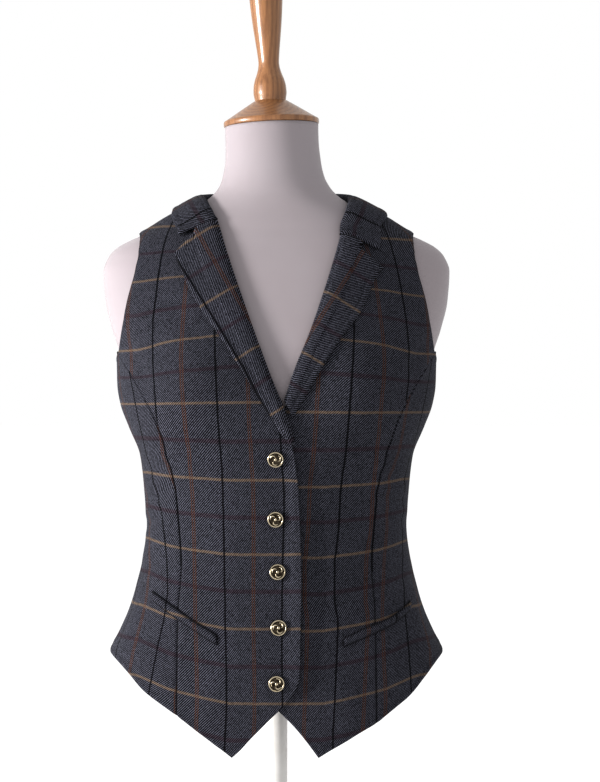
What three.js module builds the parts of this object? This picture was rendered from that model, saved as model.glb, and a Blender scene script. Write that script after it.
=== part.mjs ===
// A fitted suit waistcoat on a limbless dress form.
// Millimetres, +Z up. The front faces -Y and the origin is the middle of the stand's underside.
// The cloth is worked out on the figure: a stack of rounded sections. A place on the figure is
// a side (-1 wearer's right, +1 wearer's left), a turn in degrees from that side towards the
// front (90 is the centre front, -90 the centre back) and a height.
import * as THREE from 'three';
import { mergeVertices } from 'three/addons/utils/BufferGeometryUtils.js';

// Cloth and clearances
const WALL = 1.8;            // tweed with its interlining
const EASE = 0.7;            // cloth off the form
const NECK_EASE = 1.3;       // added round the neck, under the collar
const SEAM = 0.3;            // between pieces that are sewn edge to edge
const LAYER = 0.5;           // between pieces that lie on each other
const WELT_LIFT = 0.8;       // a welt bridges the seam under it
const LAPEL_WALL = 1.8;
const GORGE_GAP = 0.7;       // drop from the collar's end to the top of the lapel
const COLLAR_ROLL = 1;       // how far the collar springs up beside its fold
const LAPEL_ROLL = 2.2;

// Garment
const SEAM_Y = 8;            // side and shoulder seams lie in one plane, a little behind the middle
const SIDE_HEM = 252;
const BACK_NECK = 696;
const BACK_WAIST_ROWS_END = 548;
const NECK_POINT = 698.5;
const SHOULDER_TIP = 667;
const ARMHOLE = { y: SEAM_Y, z: 605, front: 62, back: 54, half: 62, power: 2.5, chest: 3 };
const ARMHOLE_JOIN = 549.7;  // where the princess seam runs into the armhole

// Buttons, from the top one down
const BUTTON_R = 7.8;
const BUTTON_SIDES = 14;
const BUTTONS = [
  { x: -1, z: 447 },
  { x: -1, z: 388.5 },
  { x: 1, z: 337 },
  { x: 2, z: 285 },
  { x: 0, z: 233 },
];

// Form and stand
const FORM_BOTTOM = 262;
const FORM_TOP = 774;
const FORM_SIDES = 48;
const FORM_INSET = 1.3;     // the form stands this far inside the figure
const CAP = { x: -5, y: 2, z: 776.6, tilt: 2.5, sides: 28 };
const POST_R = 11;
const BASE = { r: 135, h: 18, edge: 4, sides: 48 };

// Sections of the figure: half width, depth to the front and back, how square, sideways shift
const FIGURE = [
  { z: 150, half: 168, front: 100, back: 112, square: 2.3, lean: 0 },
  { z: 254, half: 163, front: 102, back: 112, square: 2.3, lean: 0 },
  { z: 269, half: 155.6, front: 101, back: 110, square: 2.3, lean: 0 },
  { z: 297, half: 143.6, front: 98, back: 104, square: 2.3, lean: 0 },
  { z: 323, half: 136.1, front: 94, back: 95, square: 2.3, lean: 0 },
  { z: 347, half: 130.6, front: 90, back: 86, square: 2.3, lean: 0 },
  { z: 376, half: 127.3, front: 87, back: 80, square: 2.3, lean: 0 },
  { z: 414, half: 129.6, front: 89, back: 83, square: 2.3, lean: 0 },
  { z: 448, half: 133.6, front: 94, back: 89, square: 2.3, lean: 0 },
  { z: 476, half: 144.6, front: 99, back: 93, square: 2.35, lean: 0 },
  { z: 499, half: 153.1, front: 102, back: 95, square: 2.4, lean: 0 },
  { z: 517, half: 156.1, front: 103, back: 96, square: 2.4, lean: 0 },
  { z: 544, half: 157, front: 100, back: 97, square: 2.4, lean: 0 },
  { z: 572, half: 165, front: 94, back: 97, square: 2.4, lean: 0 },
  { z: 600, half: 171.8, front: 86, back: 96, square: 2.35, lean: 0 },
  { z: 631, half: 174, front: 76, back: 90, square: 2.3, lean: 0 },
  { z: 646, half: 168.5, front: 70, back: 86, square: 2.3, lean: 0 },
  { z: 655, half: 160, front: 66, back: 82, square: 2.25, lean: 0 },
  { z: 662, half: 147.5, front: 63, back: 79, square: 2.2, lean: 0 },
  { z: 668, half: 134, front: 60, back: 76, square: 2.2, lean: 0 },
  { z: 681, half: 111, front: 55, back: 70, square: 2.2, lean: 0 },
  { z: 690, half: 93, front: 51, back: 66, square: 2.2, lean: -0.5 },
  { z: 699, half: 75, front: 48, back: 62, square: 2.15, lean: -1 },
  { z: 706, half: 65, front: 46, back: 59, square: 2.1, lean: -1.5 },
  { z: 714, half: 57.5, front: 45, back: 56, square: 2.05, lean: -2 },
  { z: 726, half: 52, front: 44, back: 53, square: 2, lean: -3 },
  { z: 742, half: 49, front: 44, back: 51, square: 2, lean: -3.5 },
  { z: 760, half: 48, front: 45, back: 50, square: 2, lean: -4.5 },
  { z: 776, half: 48, front: 46, back: 50, square: 2, lean: -5 },
];
const BUST = { out: 85, z: 517, rise: 12, wide: 42, high: 52 };

// Seam from the hem to the armhole on each side: distance out from the centre line
const PRINCESS = [
  { z: 190, out: 95.5 },
  { z: 238, out: 95 },
  { z: 300, out: 94 },
  { z: 343, out: 91 },
  { z: 386, out: 94 },
  { z: 417, out: 97 },
  { z: 452, out: 106 },
  { z: 484, out: 116 },
  { z: 506, out: 127 },
  { z: 530, out: 141 },
  { z: 549.7, out: 155.1 },
];

// The two fronts. edge: front edge and, above the break, the fold of the lapel.
// hem: from the front edge round the point to the princess seam, and on to the side.
const RIGHT_FRONT = {
  name: 'front_right',
  side: -1,
  edge: [
    { z: 236, out: -21 },
    { z: 355, out: -23 },
    { z: 411, out: -21 },
    { z: 450, out: -17 },
    { z: 475, out: -12 },
    { z: 495, out: -6 },
    { z: 524, out: 5 },
    { z: 570, out: 22 },
    { z: 622, out: 40 },
    { z: 661, out: 53 },
    { z: 680, out: 59 },
    { z: 688, out: 62.5 },
    { z: 694, out: 66.5 },
  ],
  hem: [
    { out: -21, z: 236 },
    { out: -18, z: 227 },
    { out: -8, z: 212.5 },
    { out: 5, z: 199.5 },
    { out: 16, z: 188.5 },
    { out: 26, z: 178 },
    { out: 34, z: 169 },
    { out: 42, z: 161.5 },
    { out: 50, z: 167.5 },
    { out: 58, z: 173 },
    { out: 67, z: 179.5 },
    { out: 76, z: 186 },
    { out: 85.5, z: 193 },
    { out: 95, z: 200 },
  ],
  sideHem: [
    { out: 95, z: 200 },
    { out: 109, z: 209 },
    { out: 128, z: 222 },
    { out: 144, z: 238 },
    { out: 156, z: 248 },
    { out: 163, z: 252 },
  ],
  lapelFold: 462,
  notch: { out: 79, z: 660.5 },
  point: { out: 97, z: 643 },
  lapelEdge: [
    { z: 470, out: -7 },
    { z: 487, out: 4 },
    { z: 508, out: 18 },
    { z: 545, out: 42 },
    { z: 568, out: 57 },
    { z: 604, out: 80 },
    { z: 627, out: 90 },
    { z: 643, out: 97 },
  ],
  welt: [
    { out: 56, top: 278, bottom: 268 },
    { out: 70, top: 286, bottom: 276 },
    { out: 84, top: 294, bottom: 284.5 },
    { out: 95, top: 301.5, bottom: 291.5 },
    { out: 106, top: 308.5, bottom: 298.5 },
    { out: 118, top: 316, bottom: 307 },
  ],
};
const LEFT_FRONT = {
  name: 'front_left',
  side: 1,
  edge: [
    { z: 236, out: -22 },
    { z: 430, out: -22 },
    { z: 455, out: -16 },
    { z: 480, out: -4 },
    { z: 497, out: 6 },
    { z: 524, out: 14 },
    { z: 569, out: 32 },
    { z: 607, out: 45 },
    { z: 645, out: 57 },
    { z: 662, out: 62 },
    { z: 678, out: 65 },
    { z: 686, out: 68 },
    { z: 692, out: 71.5 },
  ],
  hem: [
    { out: -22, z: 236 },
    { out: -19, z: 228 },
    { out: -8, z: 216 },
    { out: 3, z: 205 },
    { out: 14, z: 194 },
    { out: 24, z: 182.5 },
    { out: 32, z: 172 },
    { out: 40, z: 161 },
    { out: 49, z: 166.5 },
    { out: 58, z: 171.5 },
    { out: 67, z: 176.5 },
    { out: 76, z: 182 },
    { out: 86, z: 187.5 },
    { out: 95.5, z: 192.5 },
  ],
  sideHem: [
    { out: 95.5, z: 192.5 },
    { out: 112, z: 205 },
    { out: 128, z: 217 },
    { out: 143, z: 233 },
    { out: 156, z: 247 },
    { out: 163, z: 252 },
  ],
  lapelFold: 500,
  notch: { out: 75.5, z: 650.5 },
  point: { out: 101, z: 629 },
  lapelEdge: [
    { z: 488, out: 15 },
    { z: 515, out: 32 },
    { z: 533, out: 43 },
    { z: 560, out: 60 },
    { z: 591, out: 82 },
    { z: 614, out: 91 },
    { z: 629, out: 101 },
  ],
  welt: [
    { out: 63, top: 275, bottom: 266 },
    { out: 74, top: 279.5, bottom: 270 },
    { out: 84, top: 284, bottom: 274 },
    { out: 95, top: 287.5, bottom: 278.5 },
    { out: 107, top: 292, bottom: 283 },
    { out: 118, top: 298.5, bottom: 289.5 },
    { out: 128, top: 306, bottom: 297 },
  ],
};

// Collar stations from the notch over the shoulder to the centre back: fold and outer edge
const COLLAR_RIGHT = [
  { fold: 63, foldZ: 675.3, edge: 53.3, edgeZ: 660.5 },
  { fold: 53, foldZ: 685.5, edge: 45.7, edgeZ: 668.5 },
  { fold: 36, foldZ: 694, edge: 33, edgeZ: 678.5 },
  { fold: 14.5, foldZ: 698.5, edge: 16, edgeZ: 685.5 },
];
const COLLAR_LEFT = [
  { fold: 67.4, foldZ: 660.6, edge: 56.4, edgeZ: 647.5 },
  { fold: 60.5, foldZ: 674.5, edge: 49.8, edgeZ: 661.5 },
  { fold: 45, foldZ: 687.5, edge: 37.3, edgeZ: 673.5 },
  { fold: 21, foldZ: 696, edge: 17, edgeZ: 682 },
];
const COLLAR_BACK = [
  { fold: -8, foldZ: 701, edge: -6, edgeZ: 688 },
  { fold: -28, foldZ: 704, edge: -30, edgeZ: 685.5 },
  { fold: -49, foldZ: 707, edge: -51, edgeZ: 680.5 },
  { fold: -70, foldZ: 709.5, edge: -71, edgeZ: 677 },
];
const COLLAR_CENTRE = { fold: -90, foldZ: 710, edge: -90, edgeZ: 675 };

// Grid of the cloth pieces
const BODY_ROWS = 18;        // hem to the foot of the armhole
const YOKE_ROWS = 11;        // foot of the armhole to the shoulder
const SIDE_COLUMNS = 7;
const BACK_NECK_COLUMNS = 6;
const SHOULDER_COLUMNS = 7;
const LAPEL_ROWS = 14;
const LAPEL_SEAM_SHARES = [0, 0.25, 0.5];
const LAPEL_TOP_SHARES = [0, 0.5, 1];
const COLLAR_ROWS = 40;
const COLLAR_COLUMNS = 4;

const MATERIALS = {
  tweed: new THREE.MeshStandardMaterial({ color: 0x3a3c46, roughness: 0.95, metalness: 0 }),
  brass: new THREE.MeshStandardMaterial({ color: 0x8a7448, roughness: 0.35, metalness: 1 }),
  jersey: new THREE.MeshStandardMaterial({ color: 0xe2dadd, roughness: 0.9, metalness: 0 }),
  wood: new THREE.MeshStandardMaterial({ color: 0xaa784b, roughness: 0.45, metalness: 0 }),
  paint: new THREE.MeshStandardMaterial({ color: 0xece9e6, roughness: 0.4, metalness: 0.1 }),
};

const mix = (a, b, t) => a + (b - a) * t;
const ease = (t) => {
  const c = Math.min(Math.max(t, 0), 1);
  return c * c * (3 - 2 * c);
};
const root = (value, power) => Math.pow(Math.max(value, 0), 1 / power);

// A curve through a table's rows that never swings past them
function along(rows, column, at, by = 'z') {
  const last = rows.length - 1;
  if (at <= rows[0][by]) return rows[0][column];
  if (at >= rows[last][by]) return rows[last][column];
  let i = 0;
  while (rows[i + 1][by] < at) i += 1;
  const rise = (j) => (rows[j + 1][column] - rows[j][column]) / (rows[j + 1][by] - rows[j][by]);
  const slope = (j) => {
    if (j === 0) return rise(0);
    if (j === last) return rise(last - 1);
    const before = rise(j - 1);
    const after = rise(j);
    return before * after <= 0 ? 0 : (2 * before * after) / (before + after);
  };
  const span = rows[i + 1][by] - rows[i][by];
  const t = (at - rows[i][by]) / span;
  const h = t * t * (3 - 2 * t);
  return mix(rows[i][column], rows[i + 1][column], h)
    + span * t * (1 - t) * (slope(i) * (1 - t) - slope(i + 1) * t);
}

function section(z) {
  const s = {};
  for (const column of ['half', 'front', 'back', 'square', 'lean']) s[column] = along(FIGURE, column, z);
  return s;
}

// The point of the figure at a place
function figure(place) {
  const { side, turn, z } = place;
  const s = section(z);
  const angle = THREE.MathUtils.degToRad(turn);
  const c = Math.cos(angle);
  const n = Math.sin(angle);
  const reach = 1 / root(Math.abs(c) ** s.square + Math.abs(n) ** s.square, s.square);
  const out = s.half * reach * c;
  let y = -(n > 0 ? s.front : s.back) * reach * n;
  if (n > 0) {
    const across = (Math.abs(out) - BUST.out) / BUST.wide;
    const up = (z - BUST.z) / BUST.high;
    y -= BUST.rise * Math.exp(-across * across - up * up) * ease(n * 3);
  }
  return new THREE.Vector3(side * out + s.lean, y, z);
}

function outward(place) {
  const { side, turn, z } = place;
  const a = figure({ side, turn: turn + 0.3, z }).sub(figure({ side, turn: turn - 0.3, z }));
  const b = figure({ side, turn, z: z + 0.6 }).sub(figure({ side, turn, z: z - 0.6 }));
  return b.cross(a).multiplyScalar(side).normalize();
}

const lifted = (place, height) => figure(place).addScaledVector(outward(place), height);

// Turn of the place that lies at a distance out from the centre line, seen from the front
function turnAtOut(out, z) {
  const s = section(z);
  const share = root(1 - Math.abs(out / s.half) ** s.square, s.square);
  return THREE.MathUtils.radToDeg(Math.atan2(share, out / s.half));
}

// Turn of the place at a depth, seen from the side
function turnAtDepth(y, z) {
  const s = section(z);
  const share = y / (y < 0 ? s.front : s.back);
  return THREE.MathUtils.radToDeg(Math.atan2(-share, root(1 - Math.abs(share) ** s.square, s.square)));
}

// The armhole is a rounded oval seen from the side; angle 0 is level, -90 its foot
function armhole(angle, reach, gap = 0) {
  const a = THREE.MathUtils.degToRad(angle);
  const power = 2 / (angle > 0 && reach < 0 ? ARMHOLE.chest : ARMHOLE.power);
  const y = ARMHOLE.y + Math.sign(reach) * gap + reach * Math.abs(Math.cos(a)) ** power;
  const z = ARMHOLE.z + ARMHOLE.half * Math.sign(a) * Math.abs(Math.sin(a)) ** power;
  return { turn: turnAtDepth(y, z), z };
}

// Angle of the armhole at a height
function armholeAngle(z) {
  const s = Math.sign(z - ARMHOLE.z) * Math.abs((z - ARMHOLE.z) / ARMHOLE.half) ** (ARMHOLE.power / 2);
  return THREE.MathUtils.radToDeg(Math.asin(s));
}

// A wall over a grid of places, with its inner and outer height at each one
function wall(places, inner, outer) {
  const rows = places.length;
  const columns = places[0].length;
  const points = [];
  for (const height of [inner, outer]) {
    places.forEach((row, j) => row.forEach((place, i) => {
      points.push(lifted(place, height(place, i, j)));
    }));
  }
  const at = (layer, j, i) => layer * rows * columns + j * columns + i;
  const faces = [];
  const quad = (a, b, c, d) => faces.push(a, b, c, a, c, d);
  for (let j = 0; j < rows - 1; j += 1) {
    for (let i = 0; i < columns - 1; i += 1) {
      quad(at(1, j, i), at(1, j, i + 1), at(1, j + 1, i + 1), at(1, j + 1, i));
      quad(at(0, j, i), at(0, j + 1, i), at(0, j + 1, i + 1), at(0, j, i + 1));
    }
  }
  for (let i = 0; i < columns - 1; i += 1) {
    quad(at(0, 0, i), at(0, 0, i + 1), at(1, 0, i + 1), at(1, 0, i));
    quad(at(1, rows - 1, i), at(1, rows - 1, i + 1), at(0, rows - 1, i + 1), at(0, rows - 1, i));
  }
  for (let j = 0; j < rows - 1; j += 1) {
    quad(at(1, j, 0), at(1, j + 1, 0), at(0, j + 1, 0), at(0, j, 0));
    quad(at(0, j, columns - 1), at(0, j + 1, columns - 1), at(1, j + 1, columns - 1), at(1, j, columns - 1));
  }
  return solid(points, faces);
}

// A closed mesh with its faces turned outward
function solid(points, faces) {
  let volume = 0;
  for (let i = 0; i < faces.length; i += 3) {
    const [a, b, c] = [points[faces[i]], points[faces[i + 1]], points[faces[i + 2]]];
    volume += a.dot(b.clone().cross(c));
  }
  const ordered = volume < 0 ? faces.slice().reverse() : faces;
  const geometry = new THREE.BufferGeometry();
  geometry.setAttribute('position', new THREE.Float32BufferAttribute(points.flatMap((p) => p.toArray()), 3));
  geometry.setIndex(ordered);
  return geometry;
}

// Places that fill the space between four borders. bottom and top have one place per column,
// inner and outer one per row.
function fill(side, bottom, top, inner, outer) {
  const rows = inner.length - 1;
  const shares = bottom.map((p) => (p.turn - bottom[0].turn) / (bottom[bottom.length - 1].turn - bottom[0].turn));
  return inner.map((left, j) => {
    const v = j / rows;
    const right = outer[j];
    return shares.map((u, i) => {
      const place = { side };
      for (const key of ['turn', 'z']) {
        const across = mix(left[key], right[key], u);
        const upward = mix(bottom[i][key], top[i][key], v);
        const corners = mix(
          mix(bottom[0][key], bottom[bottom.length - 1][key], u),
          mix(top[0][key], top[top.length - 1][key], u),
          v,
        );
        place[key] = across + upward - corners;
      }
      return place;
    });
  });
}

const counted = (count) => Array.from({ length: count + 1 }, (_, i) => i / count);

// Heights of the cloth over the form
const panelInner = (place) => EASE + NECK_EASE * ease((place.z - 668) / 22);
const panelOuter = (place) => panelInner(place) + WALL;

// The wearer's right front rises over the left one towards the buttons
const OVERLAP = { starts: 76, full: 36, fades: 510, gone: 570 };
function overlapRise(place) {
  if (place.side > 0 && place.turn < 90) return 0;
  const out = -figure(place).x;
  const near = ease((OVERLAP.starts - out) / (OVERLAP.starts - OVERLAP.full));
  const low = 1 - ease((place.z - OVERLAP.fades) / (OVERLAP.gone - OVERLAP.fades));
  return (WALL + LAYER) * near * low;
}
const riseOn = (side) => (side < 0 ? overlapRise : () => 0);

const princessPlace = (z, shift) => ({ turn: turnAtOut(along(PRINCESS, 'out', z) + shift, z), z });
const princessZ = (front, t) => mix(front.hem[front.hem.length - 1].z, ARMHOLE_JOIN, t);

// Border of a front from the hem up the front edge and the fold of the lapel to the neck
function frontBorder(front) {
  const marks = front.edge.map((row) => ({ turn: turnAtOut(row.out, row.z), z: row.z }));
  marks.push({ turn: turnAtDepth(SEAM_Y, NECK_POINT), z: NECK_POINT });
  const lengths = [0];
  for (let i = 1; i < marks.length; i += 1) {
    const a = figure({ side: front.side, ...marks[i - 1] });
    const b = figure({ side: front.side, ...marks[i] });
    lengths.push(lengths[i - 1] + a.distanceTo(b));
  }
  const rows = marks.map((mark, i) => ({ ...mark, length: lengths[i] }));
  const whole = lengths[lengths.length - 1];
  return counted(BODY_ROWS + YOKE_ROWS).map((t) => ({
    turn: along(rows, 'turn', t * whole, 'length'),
    z: along(rows, 'z', t * whole, 'length'),
  }));
}

function frontPanel(front) {
  const half = SEAM / 2;
  const bottom = front.hem.map((row) => ({ turn: turnAtOut(row.out, row.z), z: row.z }));
  bottom[bottom.length - 1] = princessPlace(front.hem[front.hem.length - 1].z, -half);
  const inner = frontBorder(front);
  inner[0] = bottom[0];
  const outer = counted(BODY_ROWS).map((t) => princessPlace(princessZ(front, t), -half));
  const from = armholeAngle(ARMHOLE_JOIN);
  for (let j = 1; j <= YOKE_ROWS; j += 1) {
    outer.push(armhole(mix(from, 90, j / YOKE_ROWS), -ARMHOLE.front));
  }
  const seamTurn = (z) => turnAtDepth(SEAM_Y - half, z);
  outer[outer.length - 1] = { turn: seamTurn(SHOULDER_TIP), z: SHOULDER_TIP };
  inner[inner.length - 1] = { turn: seamTurn(NECK_POINT), z: NECK_POINT };
  const first = bottom[0].turn;
  const last = bottom[bottom.length - 1].turn;
  const top = bottom.map((place) => {
    const z = mix(NECK_POINT, SHOULDER_TIP, (place.turn - first) / (last - first));
    return { turn: seamTurn(z), z };
  });
  const rise = riseOn(front.side);
  return wall(fill(front.side, bottom, top, inner, outer),
    (place) => panelInner(place) + rise(place),
    (place) => panelOuter(place) + rise(place));
}

// Border of a side piece along the hem, evenly spaced round to the side seam
function sideHem(front, start, seam) {
  const places = [start];
  for (let i = 1; i < SIDE_COLUMNS; i += 1) {
    const turn = mix(start.turn, seam, i / SIDE_COLUMNS);
    let z = mix(start.z, SIDE_HEM, i / SIDE_COLUMNS);
    for (let pass = 0; pass < 3; pass += 1) {
      z = along(front.sideHem, 'z', Math.abs(figure({ side: 1, turn, z }).x), 'out');
    }
    places.push({ turn, z });
  }
  places.push({ turn: seam, z: SIDE_HEM });
  return places;
}

function sidePanel(front) {
  const half = SEAM / 2;
  const seamTurn = (z) => turnAtDepth(SEAM_Y - half, z);
  const bottom = sideHem(front, princessPlace(front.sideHem[0].z, half), seamTurn(SIDE_HEM));
  const inner = counted(BODY_ROWS).map((t) => princessPlace(princessZ(front, t), half));
  const foot = ARMHOLE.z - ARMHOLE.half;
  const outer = counted(BODY_ROWS).map((t) => {
    const z = mix(SIDE_HEM, foot, t);
    return { turn: seamTurn(z), z };
  });
  const from = armholeAngle(ARMHOLE_JOIN);
  const top = counted(SIDE_COLUMNS).map((t) => armhole(mix(from, -90, t), -ARMHOLE.front));
  top[0] = inner[BODY_ROWS];
  top[SIDE_COLUMNS] = outer[BODY_ROWS];
  return wall(fill(front.side, bottom, top, inner, outer), panelInner, panelOuter);
}

function backPanel(side) {
  const half = SEAM / 2;
  const seamTurn = (z) => turnAtDepth(SEAM_Y + half, z);
  const centreTurn = (z) => -turnAtOut(half, z);
  const foot = ARMHOLE.z - ARMHOLE.half;
  const columns = BACK_NECK_COLUMNS + SHOULDER_COLUMNS;
  const bottom = counted(columns).map((t) => ({
    turn: mix(centreTurn(SIDE_HEM), seamTurn(SIDE_HEM), t),
    z: SIDE_HEM,
  }));
  const inner = counted(BODY_ROWS).map((t) => mix(SIDE_HEM, BACK_WAIST_ROWS_END, t))
    .concat(counted(YOKE_ROWS).slice(1).map((t) => mix(BACK_WAIST_ROWS_END, BACK_NECK, t)))
    .map((z) => ({ turn: centreTurn(z), z }));
  const outer = counted(BODY_ROWS).map((t) => {
    const z = mix(SIDE_HEM, foot, t);
    return { turn: seamTurn(z), z };
  });
  for (let j = 1; j <= YOKE_ROWS; j += 1) {
    outer.push(armhole(mix(-90, 90, j / YOKE_ROWS), ARMHOLE.back));
  }
  outer[outer.length - 1] = { turn: seamTurn(SHOULDER_TIP), z: SHOULDER_TIP };
  const top = counted(BACK_NECK_COLUMNS).map((t) => {
    const z = mix(BACK_NECK, NECK_POINT, t * t);
    return { turn: mix(centreTurn(z), seamTurn(NECK_POINT), t), z };
  }).concat(counted(SHOULDER_COLUMNS).slice(1).map((t) => {
    const z = mix(NECK_POINT, SHOULDER_TIP, t);
    return { turn: seamTurn(z), z };
  }));
  return wall(fill(side, bottom, top, inner, outer), panelInner, panelOuter);
}

// A lapel lies on its front from the fold to its own edge. Its top follows the end of the
// collar to the notch, and then runs out to the lapel's point.
function lapel(front, gorge) {
  const foldPlace = (z) => ({ turn: turnAtOut(along(front.edge, 'out', z) - 1, z), z });
  const edgePlace = (z) => ({ turn: turnAtOut(along(front.lapelEdge, 'out', z), z), z });
  const top = LAPEL_SEAM_SHARES.map((t) => ({
    turn: mix(gorge.fold, gorge.edge, t),
    z: mix(gorge.foldZ, gorge.edgeZ, t) - GORGE_GAP,
  }));
  for (const t of LAPEL_TOP_SHARES) {
    const z = mix(front.notch.z, front.point.z, t);
    top.push({ turn: turnAtOut(mix(front.notch.out, front.point.out, t), z), z });
  }
  const first = front.lapelEdge[0].z;
  const inner = counted(LAPEL_ROWS).map((t) => foldPlace(mix(front.lapelFold, top[0].z, t)));
  const outer = counted(LAPEL_ROWS).map((t) => edgePlace(mix(first, front.point.z, t)));
  inner[LAPEL_ROWS] = top[0];
  outer[LAPEL_ROWS] = top[top.length - 1];
  const bottom = counted(top.length - 1).map((t) => ({
    turn: mix(inner[0].turn, outer[0].turn, t),
    z: mix(inner[0].z, outer[0].z, t),
  }));
  const places = fill(front.side, bottom, top, inner, outer);
  const rise = riseOn(front.side);
  const base = (place) => panelOuter(place) + rise(place) + LAYER;
  const roll = (i) => LAPEL_ROLL * Math.sin(Math.PI * Math.sqrt(i / (top.length - 1)));
  return wall(places,
    (place, i) => base(place) + roll(i) * 0.6,
    (place, i) => base(place) + LAPEL_WALL + roll(i));
}

// The collar runs from notch to notch round the back of the neck
function collar() {
  const half = (rows, side) => rows.map((row) => ({ ...row, side }));
  const stations = [
    ...half(COLLAR_RIGHT, -1),
    ...half(COLLAR_BACK, -1),
    { ...COLLAR_CENTRE, side: -1 },
    ...half(COLLAR_BACK, 1).reverse(),
    ...half(COLLAR_LEFT, 1).reverse(),
  ];
  // Turns run on through the centre back, so that one curve passes all the stations
  const wound = stations.map((row, i) => {
    const on = (turn) => (row.side < 0 ? turn : -180 - turn);
    return { at: i, fold: on(row.fold), foldZ: row.foldZ, edge: on(row.edge), edgeZ: row.edgeZ };
  });
  const places = counted(COLLAR_ROWS).map((t) => {
    const at = t * (stations.length - 1);
    return counted(COLLAR_COLUMNS).map((u) => ({
      side: -1,
      turn: mix(along(wound, 'fold', at, 'at'), along(wound, 'edge', at, 'at'), u),
      z: mix(along(wound, 'foldZ', at, 'at'), along(wound, 'edgeZ', at, 'at'), u),
    }));
  });
  const over = EASE + NECK_EASE + WALL + LAYER;
  const lift = (place) => mix(panelOuter(place) + LAYER, over, ease((place.z - 650) / 20));
  const roll = (i) => COLLAR_ROLL * Math.sin(Math.PI * Math.sqrt(i / COLLAR_COLUMNS));
  return wall(places,
    (place, i) => lift(place) + roll(i) * 0.6,
    (place, i) => lift(place) + LAPEL_WALL + roll(i));
}

// A pocket welt lies over the front and the side piece
function welt(front) {
  const places = front.welt.map((row) => [0, 0.5, 1].map((t) => {
    const z = mix(row.bottom, row.top, t);
    return { side: front.side, turn: turnAtOut(row.out, z), z };
  }));
  const base = (place) => panelOuter(place) + riseOn(front.side)(place) + WELT_LIFT;
  return wall(places, base, (place) => base(place) + WALL);
}

// A cast button: shank, dished back, raised rim, sunk field and a low centre dome
function button() {
  const profile = [
    [0, 0],
    [2.4, 0],
    [2.4, 1.1],
    [BUTTON_R - 1.2, 1.5],
    [BUTTON_R, 2.4],
    [BUTTON_R - 0.3, 3.6],
    [BUTTON_R - 1.4, 3.9],
    [BUTTON_R - 2, 3],
    [2.8, 3.1],
    [1.6, 4],
    [0, 4.3],
  ];
  return lathe(profile, BUTTON_SIDES);
}

function lathe(profile, sides) {
  const geometry = new THREE.LatheGeometry(profile.map(([r, z]) => new THREE.Vector2(r, z)), sides);
  geometry.deleteAttribute('normal');
  geometry.deleteAttribute('uv');
  return mergeVertices(geometry.rotateX(Math.PI / 2), 1e-3);
}

// The form: rings of the figure, from a flat underside to the top of the neck
function dressForm() {
  const levels = [FORM_BOTTOM, 272, 286, 304, 324, 347, 370, 394, 418, 440, 460, 478, 496, 512, 528, 542, 555,
    570, 590, 612, 628, 641, 651, 659, 666, 674, 682, 690, 698, 705, 713, 724, 742, FORM_TOP];
  const points = [];
  levels.forEach((z, j) => {
    for (let i = 0; i < FORM_SIDES; i += 1) {
      const point = lifted({ side: 1, turn: (360 * i) / FORM_SIDES, z }, -FORM_INSET);
      points.push(j === 0 || j === levels.length - 1 ? point.setZ(z) : point);
    }
  });
  const faces = [];
  const at = (j, i) => j * FORM_SIDES + (i % FORM_SIDES);
  for (let j = 0; j < levels.length - 1; j += 1) {
    for (let i = 0; i < FORM_SIDES; i += 1) {
      faces.push(at(j, i), at(j, i + 1), at(j + 1, i + 1), at(j, i), at(j + 1, i + 1), at(j + 1, i));
    }
  }
  const low = points.push(new THREE.Vector3(0, 0, FORM_BOTTOM)) - 1;
  const high = points.push(new THREE.Vector3(section(FORM_TOP).lean, 0, FORM_TOP)) - 1;
  for (let i = 0; i < FORM_SIDES; i += 1) {
    faces.push(low, at(0, i + 1), at(0, i));
    faces.push(high, at(levels.length - 1, i), at(levels.length - 1, i + 1));
  }
  return solid(points, faces);
}

// Turned neck cap with its ball and tall knob
function neckCap() {
  const rows = [
    [0, 0],
    [46.7, 0],
    [47.7, 1],
    [47.7, 4.6],
    [46, 6],
    [17, 24.4],
    [15.6, 25],
    [16, 27.5],
    [16.7, 33],
    [16.4, 39],
    [15, 45],
    [12.4, 52],
    [10.8, 58],
    [10.3, 63],
    [10.8, 70],
    [12.4, 84],
    [14.6, 102],
    [16.4, 124],
    [17.6, 142],
    [17.6, 156],
    [15.6, 164],
    [11, 169],
    [5, 171.4],
    [0, 172],
  ];
  return lathe(rows, CAP.sides);
}

function basePlate() {
  return lathe([
    [0, 0],
    [BASE.r - 1, 0],
    [BASE.r, 1],
    [BASE.r, BASE.h - BASE.edge],
    [BASE.r - 1.2, BASE.h - 1.2],
    [BASE.r - BASE.edge, BASE.h],
    [0, BASE.h],
  ], BASE.sides);
}

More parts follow.
